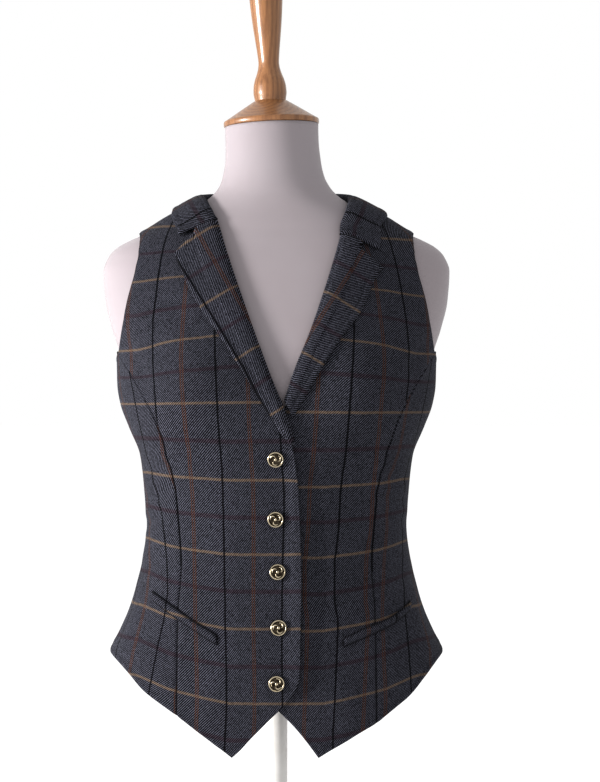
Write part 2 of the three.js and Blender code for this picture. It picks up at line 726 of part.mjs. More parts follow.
function buildWaistcoat() {
  const group = new THREE.Group();
  const add = (name, geometry, material) => {
    const mesh = new THREE.Mesh(geometry, MATERIALS[material]);
    mesh.name = name;
    group.add(mesh);
    return mesh;
  };
  for (const front of [RIGHT_FRONT, LEFT_FRONT]) {
    const hand = front.side < 0 ? 'right' : 'left';
    add(front.name, frontPanel(front), 'tweed');
    add(`side_${hand}`, sidePanel(front), 'tweed');
    add(`back_${hand}`, backPanel(front.side), 'tweed');
    add(`lapel_${hand}`, lapel(front, (front.side < 0 ? COLLAR_RIGHT : COLLAR_LEFT)[0]), 'tweed');
    add(`pocket_welt_${hand}`, welt(front), 'tweed');
  }
  add('collar', collar(), 'tweed');
  BUTTONS.forEach(({ x, z }, i) => {
    const place = { side: -1, turn: turnAtOut(-x, z), z };
    const mesh = add(`button_${i + 1}`, button(), 'brass');
    const normal = outward(place);
    mesh.position.copy(lifted(place, panelOuter(place) + overlapRise(place) + SEAM));
    mesh.quaternion.setFromUnitVectors(new THREE.Vector3(0, 0, 1), normal);
  });
  add('dress_form', dressForm(), 'jersey');
  const cap = add('neck_cap', neckCap(), 'wood');
  cap.position.set(CAP.x, CAP.y, CAP.z);
  cap.rotation.y = THREE.MathUtils.degToRad(-CAP.tilt);
  const postHeight = FORM_BOTTOM - BASE.h - 2 * SEAM;
  const post = add('stand_post', lathe([[0, 0], [POST_R, 0], [POST_R, postHeight], [0, postHeight]], 24), 'paint');
  post.position.z = BASE.h + SEAM;
  add('stand_base', basePlate(), 'paint');
  return group;
}

export default buildWaistcoat();
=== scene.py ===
"""A fitted tweed waistcoat on a limbless dress form, dressed over its CAD frame.

Shapes are worked out in millimetres on a figure, which is a stack of rounded sections.
A place on the figure is a side (-1 wearer's right, +1 wearer's left), a turn in degrees from
that side towards the front (90 centre front, -90 centre back) and a height.
"""

import math

import bmesh
import bpy
import numpy as np
from mathutils import Matrix, Vector


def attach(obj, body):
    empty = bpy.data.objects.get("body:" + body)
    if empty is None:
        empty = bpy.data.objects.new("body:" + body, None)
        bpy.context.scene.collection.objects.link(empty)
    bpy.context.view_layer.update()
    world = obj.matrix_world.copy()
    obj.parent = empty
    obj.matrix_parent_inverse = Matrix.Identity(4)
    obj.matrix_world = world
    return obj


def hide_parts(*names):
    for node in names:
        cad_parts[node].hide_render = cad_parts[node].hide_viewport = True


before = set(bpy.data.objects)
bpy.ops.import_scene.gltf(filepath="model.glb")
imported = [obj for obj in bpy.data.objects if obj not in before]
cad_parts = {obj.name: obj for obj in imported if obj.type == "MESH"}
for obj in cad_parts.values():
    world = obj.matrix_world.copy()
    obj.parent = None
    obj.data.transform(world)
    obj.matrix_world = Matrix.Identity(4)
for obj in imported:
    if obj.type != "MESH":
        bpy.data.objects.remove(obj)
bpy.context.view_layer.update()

bl_info = {
    "name": "Tweed Waistcoat",
    "version": (1, 0, 0),
    "blender": (4, 5, 0),
    "location": "View3D > Sidebar > Waistcoat",
    "description": "Builds a fitted tweed waistcoat on a dress form",
    "category": "Object",
}

MM = 0.001

# Heights over the figure, as in the CAD part
WALL = 1.8
EASE = 0.7
NECK_EASE = 1.3
LAYER = 0.5
LAPEL_WALL = 1.8
GORGE_GAP = 0.7
WELT_LIFT = 0.8
WELT_PROUD = 0.5
FORM_INSET = 1.3
COLLAR_ROLL = 1.0
LAPEL_ROLL = 2.2

SEAM_Y = 8
SIDE_HEM = 252
BACK_NECK = 696
BACK_WAIST_ROWS_END = 548
NECK_POINT = 698.5
SHOULDER_TIP = 667
ARMHOLE = {"y": SEAM_Y, "z": 605, "front": 62, "back": 54, "half": 62, "power": 2.5, "chest": 3}
ARMHOLE_JOIN = 549.7
BODY_SHARE = 18 / 29  # the part of a panel's height that lies below the armhole
BACK_NECK_SHARE = 6 / 13  # the part of a back's width that lies under the collar
OVERLAP = {"starts": 76, "full": 36, "fades": 510, "gone": 570}


def table(columns, *rows):
    """Rows with named columns."""
    return [dict(zip(columns.split(), row)) for row in rows]


FIGURE = table(
    "z half front back square lean",
    (150, 168, 100, 112, 2.3, 0), (254, 163, 102, 112, 2.3, 0), (269, 155.6, 101, 110, 2.3, 0),
    (297, 143.6, 98, 104, 2.3, 0), (323, 136.1, 94, 95, 2.3, 0), (347, 130.6, 90, 86, 2.3, 0),
    (376, 127.3, 87, 80, 2.3, 0), (414, 129.6, 89, 83, 2.3, 0), (448, 133.6, 94, 89, 2.3, 0),
    (476, 144.6, 99, 93, 2.35, 0), (499, 153.1, 102, 95, 2.4, 0), (517, 156.1, 103, 96, 2.4, 0),
    (544, 157, 100, 97, 2.4, 0), (572, 165, 94, 97, 2.4, 0), (600, 171.8, 86, 96, 2.35, 0),
    (631, 174, 76, 90, 2.3, 0), (646, 168.5, 70, 86, 2.3, 0), (655, 160, 66, 82, 2.25, 0),
    (662, 147.5, 63, 79, 2.2, 0), (668, 134, 60, 76, 2.2, 0), (681, 111, 55, 70, 2.2, 0),
    (690, 93, 51, 66, 2.2, -0.5), (699, 75, 48, 62, 2.15, -1), (706, 65, 46, 59, 2.1, -1.5),
    (714, 57.5, 45, 56, 2.05, -2), (726, 52, 44, 53, 2, -3), (742, 49, 44, 51, 2, -3.5),
    (760, 48, 45, 50, 2, -4.5), (776, 48, 46, 50, 2, -5),
)
BUST = {"out": 85, "z": 517, "rise": 12, "wide": 42, "high": 52}

PRINCESS = table(
    "z out",
    (190, 95.5), (238, 95), (300, 94), (343, 91), (386, 94), (417, 97), (452, 106), (484, 116),
    (506, 127), (530, 141), (549.7, 155.1),
)

RIGHT_FRONT = {
    "side": -1,
    "edge": table(
        "z out",
        (236, -21), (355, -23), (411, -21), (450, -17), (475, -12), (495, -6), (524, 5), (570, 22),
        (622, 40), (661, 53), (680, 59), (688, 62.5), (694, 66.5),
    ),
    "hem": table(
        "out z",
        (-21, 236), (-18, 227), (-8, 212.5), (5, 199.5), (16, 188.5), (26, 178), (34, 169),
        (42, 161.5), (50, 167.5), (58, 173), (67, 179.5), (76, 186), (85.5, 193), (95, 200),
    ),
    "side_hem": table("out z", (95, 200), (109, 209), (128, 222), (144, 238), (156, 248), (163, 252)),
    "lapel_fold": 462,
    "notch": (79, 660.5),
    "point": (97, 643),
    "lapel_edge": table(
        "z out", (470, -7), (487, 4), (508, 18), (545, 42), (568, 57), (604, 80), (627, 90), (643, 97)
    ),
    "welt": table(
        "out top bottom",
        (56, 278, 268), (70, 286, 276), (84, 294, 284.5), (95, 301.5, 291.5), (106, 308.5, 298.5),
        (118, 316, 307),
    ),
}
LEFT_FRONT = {
    "side": 1,
    "edge": table(
        "z out",
        (236, -22), (430, -22), (455, -16), (480, -4), (497, 6), (524, 14), (569, 32), (607, 45),
        (645, 57), (662, 62), (678, 65), (686, 68), (692, 71.5),
    ),
    "hem": table(
        "out z",
        (-22, 236), (-19, 228), (-8, 216), (3, 205), (14, 194), (24, 182.5), (32, 172), (40, 161),
        (49, 166.5), (58, 171.5), (67, 176.5), (76, 182), (86, 187.5), (95.5, 192.5),
    ),
    "side_hem": table(
        "out z", (95.5, 192.5), (112, 205), (128, 217), (143, 233), (156, 247), (163, 252)
    ),
    "lapel_fold": 500,
    "notch": (75.5, 650.5),
    "point": (101, 629),
    "lapel_edge": table(
        "z out", (488, 15), (515, 32), (533, 43), (560, 60), (591, 82), (614, 91), (629, 101)
    ),
    "welt": table(
        "out top bottom",
        (63, 275, 266), (74, 279.5, 270), (84, 284, 274), (95, 287.5, 278.5), (107, 292, 283),
        (118, 298.5, 289.5), (128, 306, 297),
    ),
}
FRONTS = {"right": RIGHT_FRONT, "left": LEFT_FRONT}

# The collar from notch to notch: fold and outer edge as turns on the right-hand side, which run
# on past the centre back at -90
COLLAR = table(
    "at fold fold_z edge edge_z",
    (0, 60.5, 675.3, 53.3, 660.5), (1, 50, 685.5, 45.7, 668.5), (2, 34, 694, 33, 678.5),
    (3, 14.5, 698.5, 16, 685.5), (4, -8, 701, -6, 688), (5, -28, 704, -30, 685.5),
    (6, -49, 707, -51, 680.5), (7, -70, 709.5, -71, 677), (8, -90, 710, -90, 675),
    (9, -110, 709.5, -109, 677), (10, -131, 707, -129, 680.5), (11, -152, 704, -150, 685.5),
    (12, -172, 701, -174, 688), (13, -201, 696, -197, 682), (14, -223, 687.5, -217.3, 673.5),
    (15, -237.5, 674.5, -229.8, 661.5), (16, -244.9, 660.6, -236.4, 647.5),
)
GORGES = {"right": (60.5, 675.3, 53.3, 660.5), "left": (64.9, 660.6, 56.4, 647.5)}

BUTTONS = table("x z", (-1, 447), (-1, 388.5), (1, 337), (2, 285), (0, 233))

# Heights of the tan weft lines at the front, one check apart, from the lowest up
CHECK_LEVELS = {
    "right": (143, 213.6, 283.9, 353.9, 426.6, 500.8, 564.8, 623.8, 672, 735),
    "left": (144, 213.2, 281.9, 351, 419.4, 491.5, 561.6, 612, 660, 725),
}
# How far the weft lines climb towards the side, where the cloth hangs off the grain
CHECK_CLIMB = table(
    "z up", (150, 26), (213, 24), (354, 13), (440, 4), (490, 0), (550, -14), (620, -7), (680, 0)
)
CHECK_CLIMB_SHARE = table("a share", (45, 0), (100, 0.45), (150, 1), (195, 1), (280, 0))

# Three dark warp lines of each front, as distances out from the centre line
FRONT_LINES = {
    "right": table(
        "z none one two",
        (160, -6, 49.4, 104), (224, -5.5, 47, 103), (281, -5, 48, 104), (356, -6.1, 49.3, 104),
        (409, -7.2, 50.5, 106), (444, -5, 52, 109), (489, -3, 56, 114), (570, -2, 59, 118),
        (628, -2, 57, 113), (660, -2, 52, 107), (682, -2, 47, 98),
    ),
    "left": table(
        "z none one two",
        (184, -2, 53.6, 109), (235, -1, 56, 111), (290, 0, 58, 113), (312, -2, 55, 111),
        (339, -2, 55, 111), (379, 1, 59, 115), (416, 2, 61, 117), (456, 5, 66, 120),
        (503, 8, 70, 123.5), (536, 9, 72.4, 126.5), (569, 10, 74, 125), (615, 10, 70, 119),
        (660, 6, 60, 108.5), (678, 2, 54, 100.4),
    ),
}
SIDE_LINE = {
    "right": table(
        "z out",
        (220, 122), (266, 113), (296, 106.5), (320, 104), (378, 108.4), (425, 118.5), (453, 126),
        (531, 141),
    ),
    "left": table(
        "z out", (222, 129), (262, 126.6), (300, 123), (360, 121.5), (420, 124), (480, 138), (540, 150)
    ),
}
# Grain of the lapels: lean from upright, and a tan line and a rust line that cross on each
LAPEL_GRAIN = {
    "right": {"lean": 31, "tan": (-53.5, 601.2), "rust": (-43.3, 607.3)},
    "left": {"lean": -32, "tan": (60.9, 596), "rust": (72.5, 627.6)},
}
LAPEL_TAKE_UP = 1.19

# Soft folds of the worn cloth. a is the distance round from the centre front, and a negative
# depth is a trough
FOLDS = {
    "right": table(
        "a0 z0 a1 z1 depth width",
        (70, 452, 128, 470, -0.9, 8), (96, 438, 150, 440, -0.8, 7), (100, 418, 160, 408, -1.0, 7),
        (112, 396, 176, 378, -0.9, 6), (128, 520, 158, 560, -0.8, 8), (60, 560, 120, 612, -0.6, 12),
        (20, 430, 62, 440, -0.5, 6), (18, 318, 60, 312, -0.4, 7), (110, 352, 182, 330, -0.7, 8),
        (60, 250, 72, 185, 0.9, 14), (150, 300, 172, 256, 1.0, 13), (205, 402, 330, 386, -1.3, 8),
        (190, 380, 300, 362, -1.1, 7), (215, 430, 326, 424, -0.9, 9), (240, 356, 330, 340, -0.8, 8),
        (230, 560, 300, 600, -0.7, 14), (250, 640, 305, 668, -0.6, 10), (262, 320, 270, 262, 1.0, 16),
    ),
    "left": table(
        "a0 z0 a1 z1 depth width",
        (28, 216, 25, 456, -1.4, 7), (98, 432, 150, 426, -1.2, 6), (92, 416, 156, 404, -1.1, 6),
        (104, 398, 168, 380, -0.9, 6), (72, 468, 122, 452, -0.8, 8), (132, 530, 160, 562, -0.9, 8),
        (64, 566, 126, 600, -0.6, 12), (30, 392, 66, 396, -0.5, 6), (28, 300, 70, 306, -0.4, 7),
        (108, 350, 176, 322, -0.8, 8), (62, 246, 76, 182, 1.0, 14), (148, 296, 168, 252, 0.9, 14),
        (200, 412, 322, 402, -1.1, 8), (196, 388, 320, 374, -1.3, 7), (222, 446, 310, 436, -0.8, 9),
        (238, 352, 326, 344, -0.8, 9), (222, 572, 296, 590, -0.7, 13), (246, 646, 300, 662, -0.5, 10),
        (255, 322, 262, 262, 1.0, 15),
    ),
}


def length_setting(name, description, default):
    return bpy.props.FloatProperty(name=name, description=description, default=default, unit="LENGTH")


def colour_setting(name, description, default):
    return bpy.props.FloatVectorProperty(
        name=name, description=description, subtype="COLOR", size=4, default=default
    )


class WaistcoatTweed(bpy.types.PropertyGroup):
    check_width: length_setting("Check width", "From one dark warp line to the next", 0.0575)
    check_height: length_setting("Check height", "From one tan weft line to the next", 0.0715)
    twill_pitch: length_setting("Twill pitch", "Distance between twill lines across the cloth", 0.0022)
    ground: colour_setting("Ground", "Dark threads", (0.0011, 0.0011, 0.0022, 1))
    light: colour_setting("Light", "Light threads", (0.11, 0.112, 0.142, 1))
    # Also the colour of the painted shade in the lines of seams and stitching
    dark_line_and_shade: colour_setting("Dark line", "Dark warp lines", (0.0009, 0.0009, 0.0022, 1))
    rust_line: colour_setting("Rust line", "Rust warp lines", (0.1, 0.041, 0.021, 1))
    tan_line: colour_setting("Tan line", "Tan weft lines", (0.195, 0.143, 0.106, 1))
    maroon_line: colour_setting("Maroon line", "Maroon weft lines", (0.045, 0.015, 0.024, 1))


class WaistcoatCloth(bpy.types.PropertyGroup):
    shell: length_setting("Shell", "Thickness of the cloth", 0.0014)
    fold_depth: bpy.props.FloatProperty(
        name="Fold depth", description="How strongly the soft folds show", default=1.3, min=0, max=1.5
    )
    seam_depth: length_setting("Seam depth", "How far the cloth dips into a seam", 0.0009)


class WaistcoatTrim(bpy.types.PropertyGroup):
    button_radius: length_setting("Button radius", "Outer radius of a button", 0.0078)
    brass: colour_setting("Brass", "Bright metal of the buttons", (0.5, 0.44, 0.33, 1))


class WaistcoatStand(bpy.types.PropertyGroup):
    jersey: colour_setting("Jersey", "Cover of the dress form", (0.3, 0.272, 0.287, 1))
    wood: colour_setting("Wood", "Light grain of the turned cap", (0.27, 0.132, 0.055, 1))
    paint: colour_setting("Paint", "Painted post and base", (0.64, 0.63, 0.615, 1))


class WaistcoatStage(bpy.types.PropertyGroup):
    camera_distance: length_setting("Camera distance", "From the centre line", 2.2)
    camera_height: length_setting("Camera height", "Height of the lens", 0.5113)
    key_power: bpy.props.FloatProperty(
        name="Key light", description="Power of the large light on the left, in watts",
        default=190, min=0
    )
    sky: bpy.props.FloatProperty(
        name="Surroundings", description="Brightness of the white studio all round", default=1.0, min=0
    )


# The figure


def ease(t):
    c = np.clip(t, 0, 1)
    return c * c * (3 - 2 * c)


def curve(rows, column, at, by="z"):
    """A curve through a table's rows that never swings past them."""
    x = np.array([row[by] for row in rows], float)
    y = np.array([row[column] for row in rows], float)
    rise = np.diff(y) / np.diff(x)
    both = rise[:-1] * rise[1:]
    total = rise[:-1] + rise[1:]
    slope = np.zeros(len(x))
    slope[0], slope[-1] = rise[0], rise[-1]
    slope[1:-1] = np.where(both > 0, 2 * both / np.where(total == 0, 1, total), 0)
    at = np.clip(np.asarray(at, float), x[0], x[-1])
    i = np.clip(np.searchsorted(x, at, side="right") - 1, 0, len(x) - 2)
    span = x[i + 1] - x[i]
    t = (at - x[i]) / span
    bend = span * t * (1 - t) * (slope[i] * (1 - t) - slope[i + 1] * t)
    return y[i] + (y[i + 1] - y[i]) * ease(t) + bend


SECTION_STEP = 0.25
SECTION_Z = np.arange(150, 776 + SECTION_STEP, SECTION_STEP)
SECTION_COLUMNS = ("half", "front", "back", "square", "lean")
SECTIONS = {column: curve(FIGURE, column, SECTION_Z) for column in SECTION_COLUMNS}


def section(z):
    return {column: np.interp(z, SECTION_Z, values) for column, values in SECTIONS.items()}


def figure(side, turn, z):
    """Points of the figure, in millimetres."""
    s = section(z)
    angle = np.radians(turn)
    c, n = np.cos(angle), np.sin(angle)
    power = s["square"]
    reach = (np.abs(c) ** power + np.abs(n) ** power) ** (-1 / power)
    out = s["half"] * reach * c
    across = (np.abs(out) - BUST["out"]) / BUST["wide"]
    up = (z - BUST["z"]) / BUST["high"]
    bust = BUST["rise"] * np.exp(-across * across - up * up) * ease(n * 3)
    y = -np.where(n > 0, s["front"], s["back"]) * reach * n - np.where(n > 0, bust, 0)
    return np.stack([side * out + s["lean"], y, np.broadcast_to(z, out.shape)], -1)


def outward(side, turn, z):
    a = figure(side, turn + 0.3, z) - figure(side, turn - 0.3, z)
    b = figure(side, turn, z + 0.6) - figure(side, turn, z - 0.6)
    n = np.cross(b, a) * side
    return n / np.linalg.norm(n, axis=-1, keepdims=True)


def lifted(side, turn, z, height):
    return figure(side, turn, z) + outward(side, turn, z) * np.asarray(height)[..., None]


def turn_at_out(out, z):
    s = section(z)
    share = np.asarray(out) / s["half"]
    up = np.maximum(1 - np.abs(share) ** s["square"], 0) ** (1 / s["square"])
    return np.degrees(np.arctan2(up, share))


def turn_at_depth(y, z):
    s = section(z)
    share = np.asarray(y) / np.where(np.asarray(y) < 0, s["front"], s["back"])
    up = np.maximum(1 - np.abs(share) ** s["square"], 0) ** (1 / s["square"])
    return np.degrees(np.arctan2(-share, up))


def armhole(angle, reach):
    """Turns and heights round the armhole, an oval seen from the side."""
    a = np.radians(angle)
    power = 2 / np.where((a > 0) & (reach < 0), ARMHOLE["chest"], ARMHOLE["power"])
    y = ARMHOLE["y"] + reach * np.abs(np.cos(a)) ** power
    z = ARMHOLE["z"] + ARMHOLE["half"] * np.sign(a) * np.abs(np.sin(a)) ** power
    return turn_at_depth(y, z), z


def armhole_angle(z):
    share = (z - ARMHOLE["z"]) / ARMHOLE["half"]
    return math.degrees(math.asin(math.copysign(abs(share) ** (ARMHOLE["power"] / 2), share)))


# Distance round the figure from the centre front, for any turn and height
ROUND_TURNS = np.linspace(125, -90, 431)
ROUND_Z = np.arange(150, 777, 3.0)


def round_table():
    turns, heights = np.meshgrid(ROUND_TURNS, ROUND_Z)
    points = figure(1, turns, heights)
    steps = np.linalg.norm(np.diff(points, axis=1), axis=-1)
    lengths = np.concatenate([np.zeros((len(ROUND_Z), 1)), np.cumsum(steps, axis=1)], axis=1)
    front = int(np.argmin(np.abs(ROUND_TURNS - 90)))
    return lengths - lengths[:, front : front + 1]


ROUND = round_table()


def distance_round(turn, z):
    turn_gap = ROUND_TURNS[0] - ROUND_TURNS[1]
    column = np.clip((ROUND_TURNS[0] - turn) / turn_gap, 0, len(ROUND_TURNS) - 1.001)
    row = np.clip((z - ROUND_Z[0]) / (ROUND_Z[1] - ROUND_Z[0]), 0, len(ROUND_Z) - 1.001)
    i, j = column.astype(int), row.astype(int)
    u, v = column - i, row - j
    low = ROUND[j, i] * (1 - u) + ROUND[j, i + 1] * u
    high = ROUND[j + 1, i] * (1 - u) + ROUND[j + 1, i + 1] * u
    return low * (1 - v) + high * v


# Heights of the cloth


def panel_height(z):
    return EASE + WALL + NECK_EASE * ease((z - 668) / 22)


def overlap_rise(side, turn, z):
    """The wearer's right front rises over the left one towards the buttons."""
    if side > 0:
        return 0 * turn
    out = -figure(side, turn, z)[..., 0]
    near = ease((OVERLAP["starts"] - out) / (OVERLAP["starts"] - OVERLAP["full"]))
    low = 1 - ease((z - OVERLAP["fades"]) / (OVERLAP["gone"] - OVERLAP["fades"]))
    return (WALL + LAYER) * near * low


EDGE_SPRING = {"rise": 5.0, "wide": 19, "low": 214, "foot": 236, "head": 440, "high": 480}


def edge_spring(turn, z):
    """The upper front's edge stands a little off the one below it."""
    out = -figure(-1, turn, z)[..., 0]
    near = 1 - ease((out + 23) / EDGE_SPRING["wide"])
    up = ease((z - EDGE_SPRING["low"]) / (EDGE_SPRING["foot"] - EDGE_SPRING["low"]))
    down = ease((EDGE_SPRING["high"] - z) / (EDGE_SPRING["high"] - EDGE_SPRING["head"]))
    return EDGE_SPRING["rise"] * near * up * down


def folds(side, turn, z):
    """Soft folds of the cloth: each a trough or ridge with a fainter swell on both sides."""
    a = distance_round(turn, z)
    total = np.zeros_like(a)
    for row in FOLDS["right" if side < 0 else "left"]:
        run = np.array([row["a1"] - row["a0"], row["z1"] - row["z0"]], float)
        length = np.hypot(*run)
        run /= length
        along = (a - row["a0"]) * run[0] + (z - row["z0"]) * run[1]
        off = (a - row["a0"]) * -run[1] + (z - row["z0"]) * run[0]
        share = along / length
        bend = off + 0.06 * length * np.sin(np.clip(share, 0, 1) * math.pi)
        ends = ease(share / 0.35 + 0.3) * ease((1 - share) / 0.35 + 0.3)
        near = bend / row["width"]
        total += row["depth"] * ends * (np.exp(-near * near) - 0.35 * np.exp(-((np.abs(near) - 1.9) ** 2)))
    return total


def steps(count, low_cluster=(), high_cluster=(), keep=()):
    """Shares from 0 to 1, with finer ones at the two ends and the ones to keep exactly."""
    shares = np.linspace(0, 1, count + 1)
    for near, sign in ((low_cluster, 0), (high_cluster, 1)):
        if near:
            shares = shares[np.abs(shares - sign) > max(near) * 1.3]
            shares = np.concatenate([shares, [sign], np.abs(sign - np.array(near))])
    for mark in keep:
        shares = shares[np.abs(shares - mark) > 0.3 / count]
        shares = np.append(shares, mark)
    return np.unique(np.round(shares, 6))


def meet(top, inner, outer):
    """Ends the two side borders on the top one."""
    for border, spot in ((inner, 0), (outer, -1)):
        border[0][-1], border[1][-1] = top[0][spot], top[1][spot]


def fill(across, upward, bottom, top, inner, outer):
    """Turns and heights that fill the space between four borders."""
    u, v = across[None, :], upward[:, None]
    made = []
    for low, high, left, right in zip(bottom, top, inner, outer):
        sideways = left[:, None] * (1 - u) + right[:, None] * u
        rising = low[None, :] * (1 - v) + high[None, :] * v
        lower = low[0] * (1 - u) + low[-1] * u
        upper = high[0] * (1 - u) + high[-1] * u
        made.append(sideways + rising - (lower * (1 - v) + upper * v))
    return made


def from_borders(points):
    """Distance of each point of a grid from its left, right, lower and upper border."""
    sideways = np.linalg.norm(np.diff(points, axis=1), axis=-1)
    left = np.concatenate([np.zeros((points.shape[0], 1)), np.cumsum(sideways, axis=1)], axis=1)
    rising = np.linalg.norm(np.diff(points, axis=0), axis=-1)
    low = np.concatenate([np.zeros((1, points.shape[1])), np.cumsum(rising, axis=0)], axis=0)
    return {"left": left, "right": left[:, -1:] - left, "low": low, "high": low[-1:] - low}


EDGE_ROUND = 1.1
EDGE_SINK = 0.75
STITCH_IN = 5.5
SEAM_WIDE = 1.6
# Half widths of the painted shade in seam and welt lines, in millimetres
SHADE_WIDE = {"seam": 1.0, "welt": 1.7}


def border_profile(kinds, away, seam_depth):
    """Height change near the borders: a turned edge with its stitched line, or a sunk seam."""
    change = 0
    for border, kind in kinds.items():
        d = away[border]
        if kind == "edge":
            change = change - EDGE_SINK * np.clip(1 - d / EDGE_ROUND, 0, 1) ** 2
            change = change - 0.3 * np.exp(-(((d - STITCH_IN) / 0.9) ** 2))
            change = change + 0.22 * np.exp(-(((d - STITCH_IN * 0.5) / 1.6) ** 2))
        else:
            change = change - seam_depth * np.exp(-((d / SEAM_WIDE) ** 2))
            change = change + 0.18 * np.exp(-(((d - 5) / 2.6) ** 2))
    return change


def painted_seam_shade(kinds, away, share):
    """How dark the cloth lies in the lines of its seams and, faintly, of its stitching."""
    total = 0 * away["left"]
    for border, kind in kinds.items():
        d = away[border]
        if kind == "edge":
            line = 0.32 * np.exp(-(((d - STITCH_IN) / 0.8) ** 2))
        else:
            line = np.exp(-((d / SHADE_WIDE[kind]) ** 2))
        total = np.maximum(total, line)
        if border in share:
            total = np.maximum(total, share[border] * np.exp(-((d / 1.0) ** 2)))
    return np.clip(total, 0, 1)


def pucker(kinds, away, run):
    """A faint unevenness beside the seams and edges, as the stitches draw the cloth."""
    total = 0
    for border, kind in kinds.items():
        if kind in ("seam", "edge"):
            near = np.exp(-((away[border] / 7) ** 2))
            length = run[border]
            wave = np.sin(length / 3.1) * np.sin(length / 7.7 + 1.3) + 0.6 * np.sin(length / 13.7 + 0.5)
            total = total + 0.1 * near * wave
    return total


# Meshes


def mesh_piece(name, bm, material):
    bm.normal_update()
    mesh = bpy.data.meshes.new(name)
    bm.to_mesh(mesh)
    bm.free()
    for polygon in mesh.polygons:
        polygon.use_smooth = True
    piece = bpy.data.objects.new(name, mesh)
    bpy.context.scene.collection.objects.link(piece)
    mesh.materials.append(material)
    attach(piece, "root")
    return piece


def sheet_mesh(points, cloth_u, cloth_v, towards, painted_shade=None):
    """A grid of points as a bmesh with its cloth coordinates, facing along towards.

    The attribute sewn is 1 in the line of a seam, where the cloth lies in its own shade.
    """
    rows, columns = points.shape[:2]
    bm = bmesh.new()
    bmesh.ops.create_grid(bm, x_segments=columns - 1, y_segments=rows - 1, size=1)
    uv = bm.loops.layers.uv.new("cloth")
    line = bm.verts.layers.float.new("painted_shade")
    place = {}
    for vert in bm.verts:
        i = round((vert.co.x + 1) / 2 * (columns - 1))
        j = round((vert.co.y + 1) / 2 * (rows - 1))
        place[vert] = (j, i)
        vert.co = Vector(points[j, i] * MM)
        if painted_shade is not None:
            vert[line] = float(painted_shade[j, i])
    for face in bm.faces:
        for loop in face.loops:
            j, i = place[loop.vert]
            loop[uv].uv = (cloth_u[j, i] * MM, cloth_v[j, i] * MM)
    bm.normal_update()
    bm.faces.ensure_lookup_table()
    middle = bm.faces[len(bm.faces) // 2]
    if middle.normal.dot(Vector(towards[rows // 2, columns // 2])) < 0:
        bmesh.ops.reverse_faces(bm, faces=bm.faces[:])
    return bm


def cloth_piece(
    name, side, turn, z, height, cloth_u, cloth_v, kinds, folded=1.0, thick=None, share=None
):
    """A thin shell of cloth over a grid of places. share gives edges that are part seam."""
    cloth = bpy.context.scene.waistcoat_cloth
    base = figure(side, turn, z)
    away = from_borders(base)
    around = distance_round(turn, z)
    run = {"left": z, "right": z, "low": around, "high": around}
    lift = height + border_profile(kinds, away, cloth.seam_depth / MM)
    lift = lift + pucker(kinds, away, run)
    lift = lift + folded * cloth.fold_depth * folds(side, turn, z)
    normals = outward(side, turn, z)
    points = base + normals * lift[..., None]
    bm = sheet_mesh(points, cloth_u, cloth_v, normals, painted_seam_shade(kinds, away, share or {}))
    piece = mesh_piece(name, bm, tweed_material())
    shell = piece.modifiers.new("Shell", "SOLIDIFY")
    shell.thickness = thick or cloth.shell
    shell.offset = -1
    return piece


# Cloth coordinates: u runs round to the onlooker's right, v up, both in millimetres


def cloth_v(hand, turn, z):
    climb = curve(CHECK_CLIMB, "up", z) * curve(CHECK_CLIMB_SHARE, "share", distance_round(turn, z), "a")
    levels = CHECK_LEVELS[hand]
    repeat = bpy.context.scene.waistcoat_tweed.check_height / MM
    rows = [{"z": level, "v": (k - 1) * repeat} for k, level in enumerate(levels)]
    return curve(rows, "v", z - climb)


def front_u(hand, turn, z):
    side = FRONTS[hand]["side"]
    a = distance_round(turn, z)
    marks = []
    for column in ("none", "one", "two"):
        out = curve(FRONT_LINES[hand], column, z)
        marks.append(distance_round(turn_at_out(out, z), z))
    first = (a - marks[0]) / (marks[1] - marks[0])
    second = 1 + (a - marks[1]) / (marks[2] - marks[1])
    return side * np.where(a < marks[1], first, second) * bpy.context.scene.waistcoat_tweed.check_width / MM


def side_u(hand, turn, z):
    side = FRONTS[hand]["side"]
    line = distance_round(turn_at_out(curve(SIDE_LINE[hand], "out", z), z), z)
    return side * (distance_round(turn, z) - line)


def back_u(side, turn, z):
    half = bpy.context.scene.waistcoat_tweed.check_width / MM / 2
    return side * (distance_round(turn, z) - distance_round(0 * turn - 90, z)) + half


BACK_LEVEL = {"starts": 210, "over": 110}  # where the backs' checks come level, round from the front


def back_v(hand, turn, z):
    """The checks of the two backs come level with each other towards the centre seam."""
    other = "left" if hand == "right" else "right"
    share = 0.5 * ease((distance_round(turn, z) - BACK_LEVEL["starts"]) / BACK_LEVEL["over"])
    return cloth_v(hand, turn, z) * (1 - share) + cloth_v(other, turn, z) * share


# Panels


def hem_border(rows):
    """Heights of a hem against the share of its turn, with the point kept sharp."""
    turns = np.array([float(turn_at_out(row["out"], row["z"])) for row in rows])
    shares = (turns - turns[0]) / (turns[-1] - turns[0])
    marks = [{"share": share, "z": row["z"]} for share, row in zip(shares, rows)]
    tip = min(range(len(rows)), key=lambda k: rows[k]["z"])
    return marks, tip


HEM_ROWS = (0.001, 0.002, 0.0035, 0.006, 0.0085, 0.011)
TOP_ROWS = (0.001, 0.002, 0.0035)
FRONT_ROWS = steps(210, HEM_ROWS, TOP_ROWS, keep=[BODY_SHARE])
SIDE_TOP_ROWS = [0.983, 0.987, 0.991, 0.995, 0.997, 0.9985, 1]
# A front's edge tucks in under the lapel's roll
TUCK = {"more": 1.6, "starts": 474, "over": 50, "top": 8}


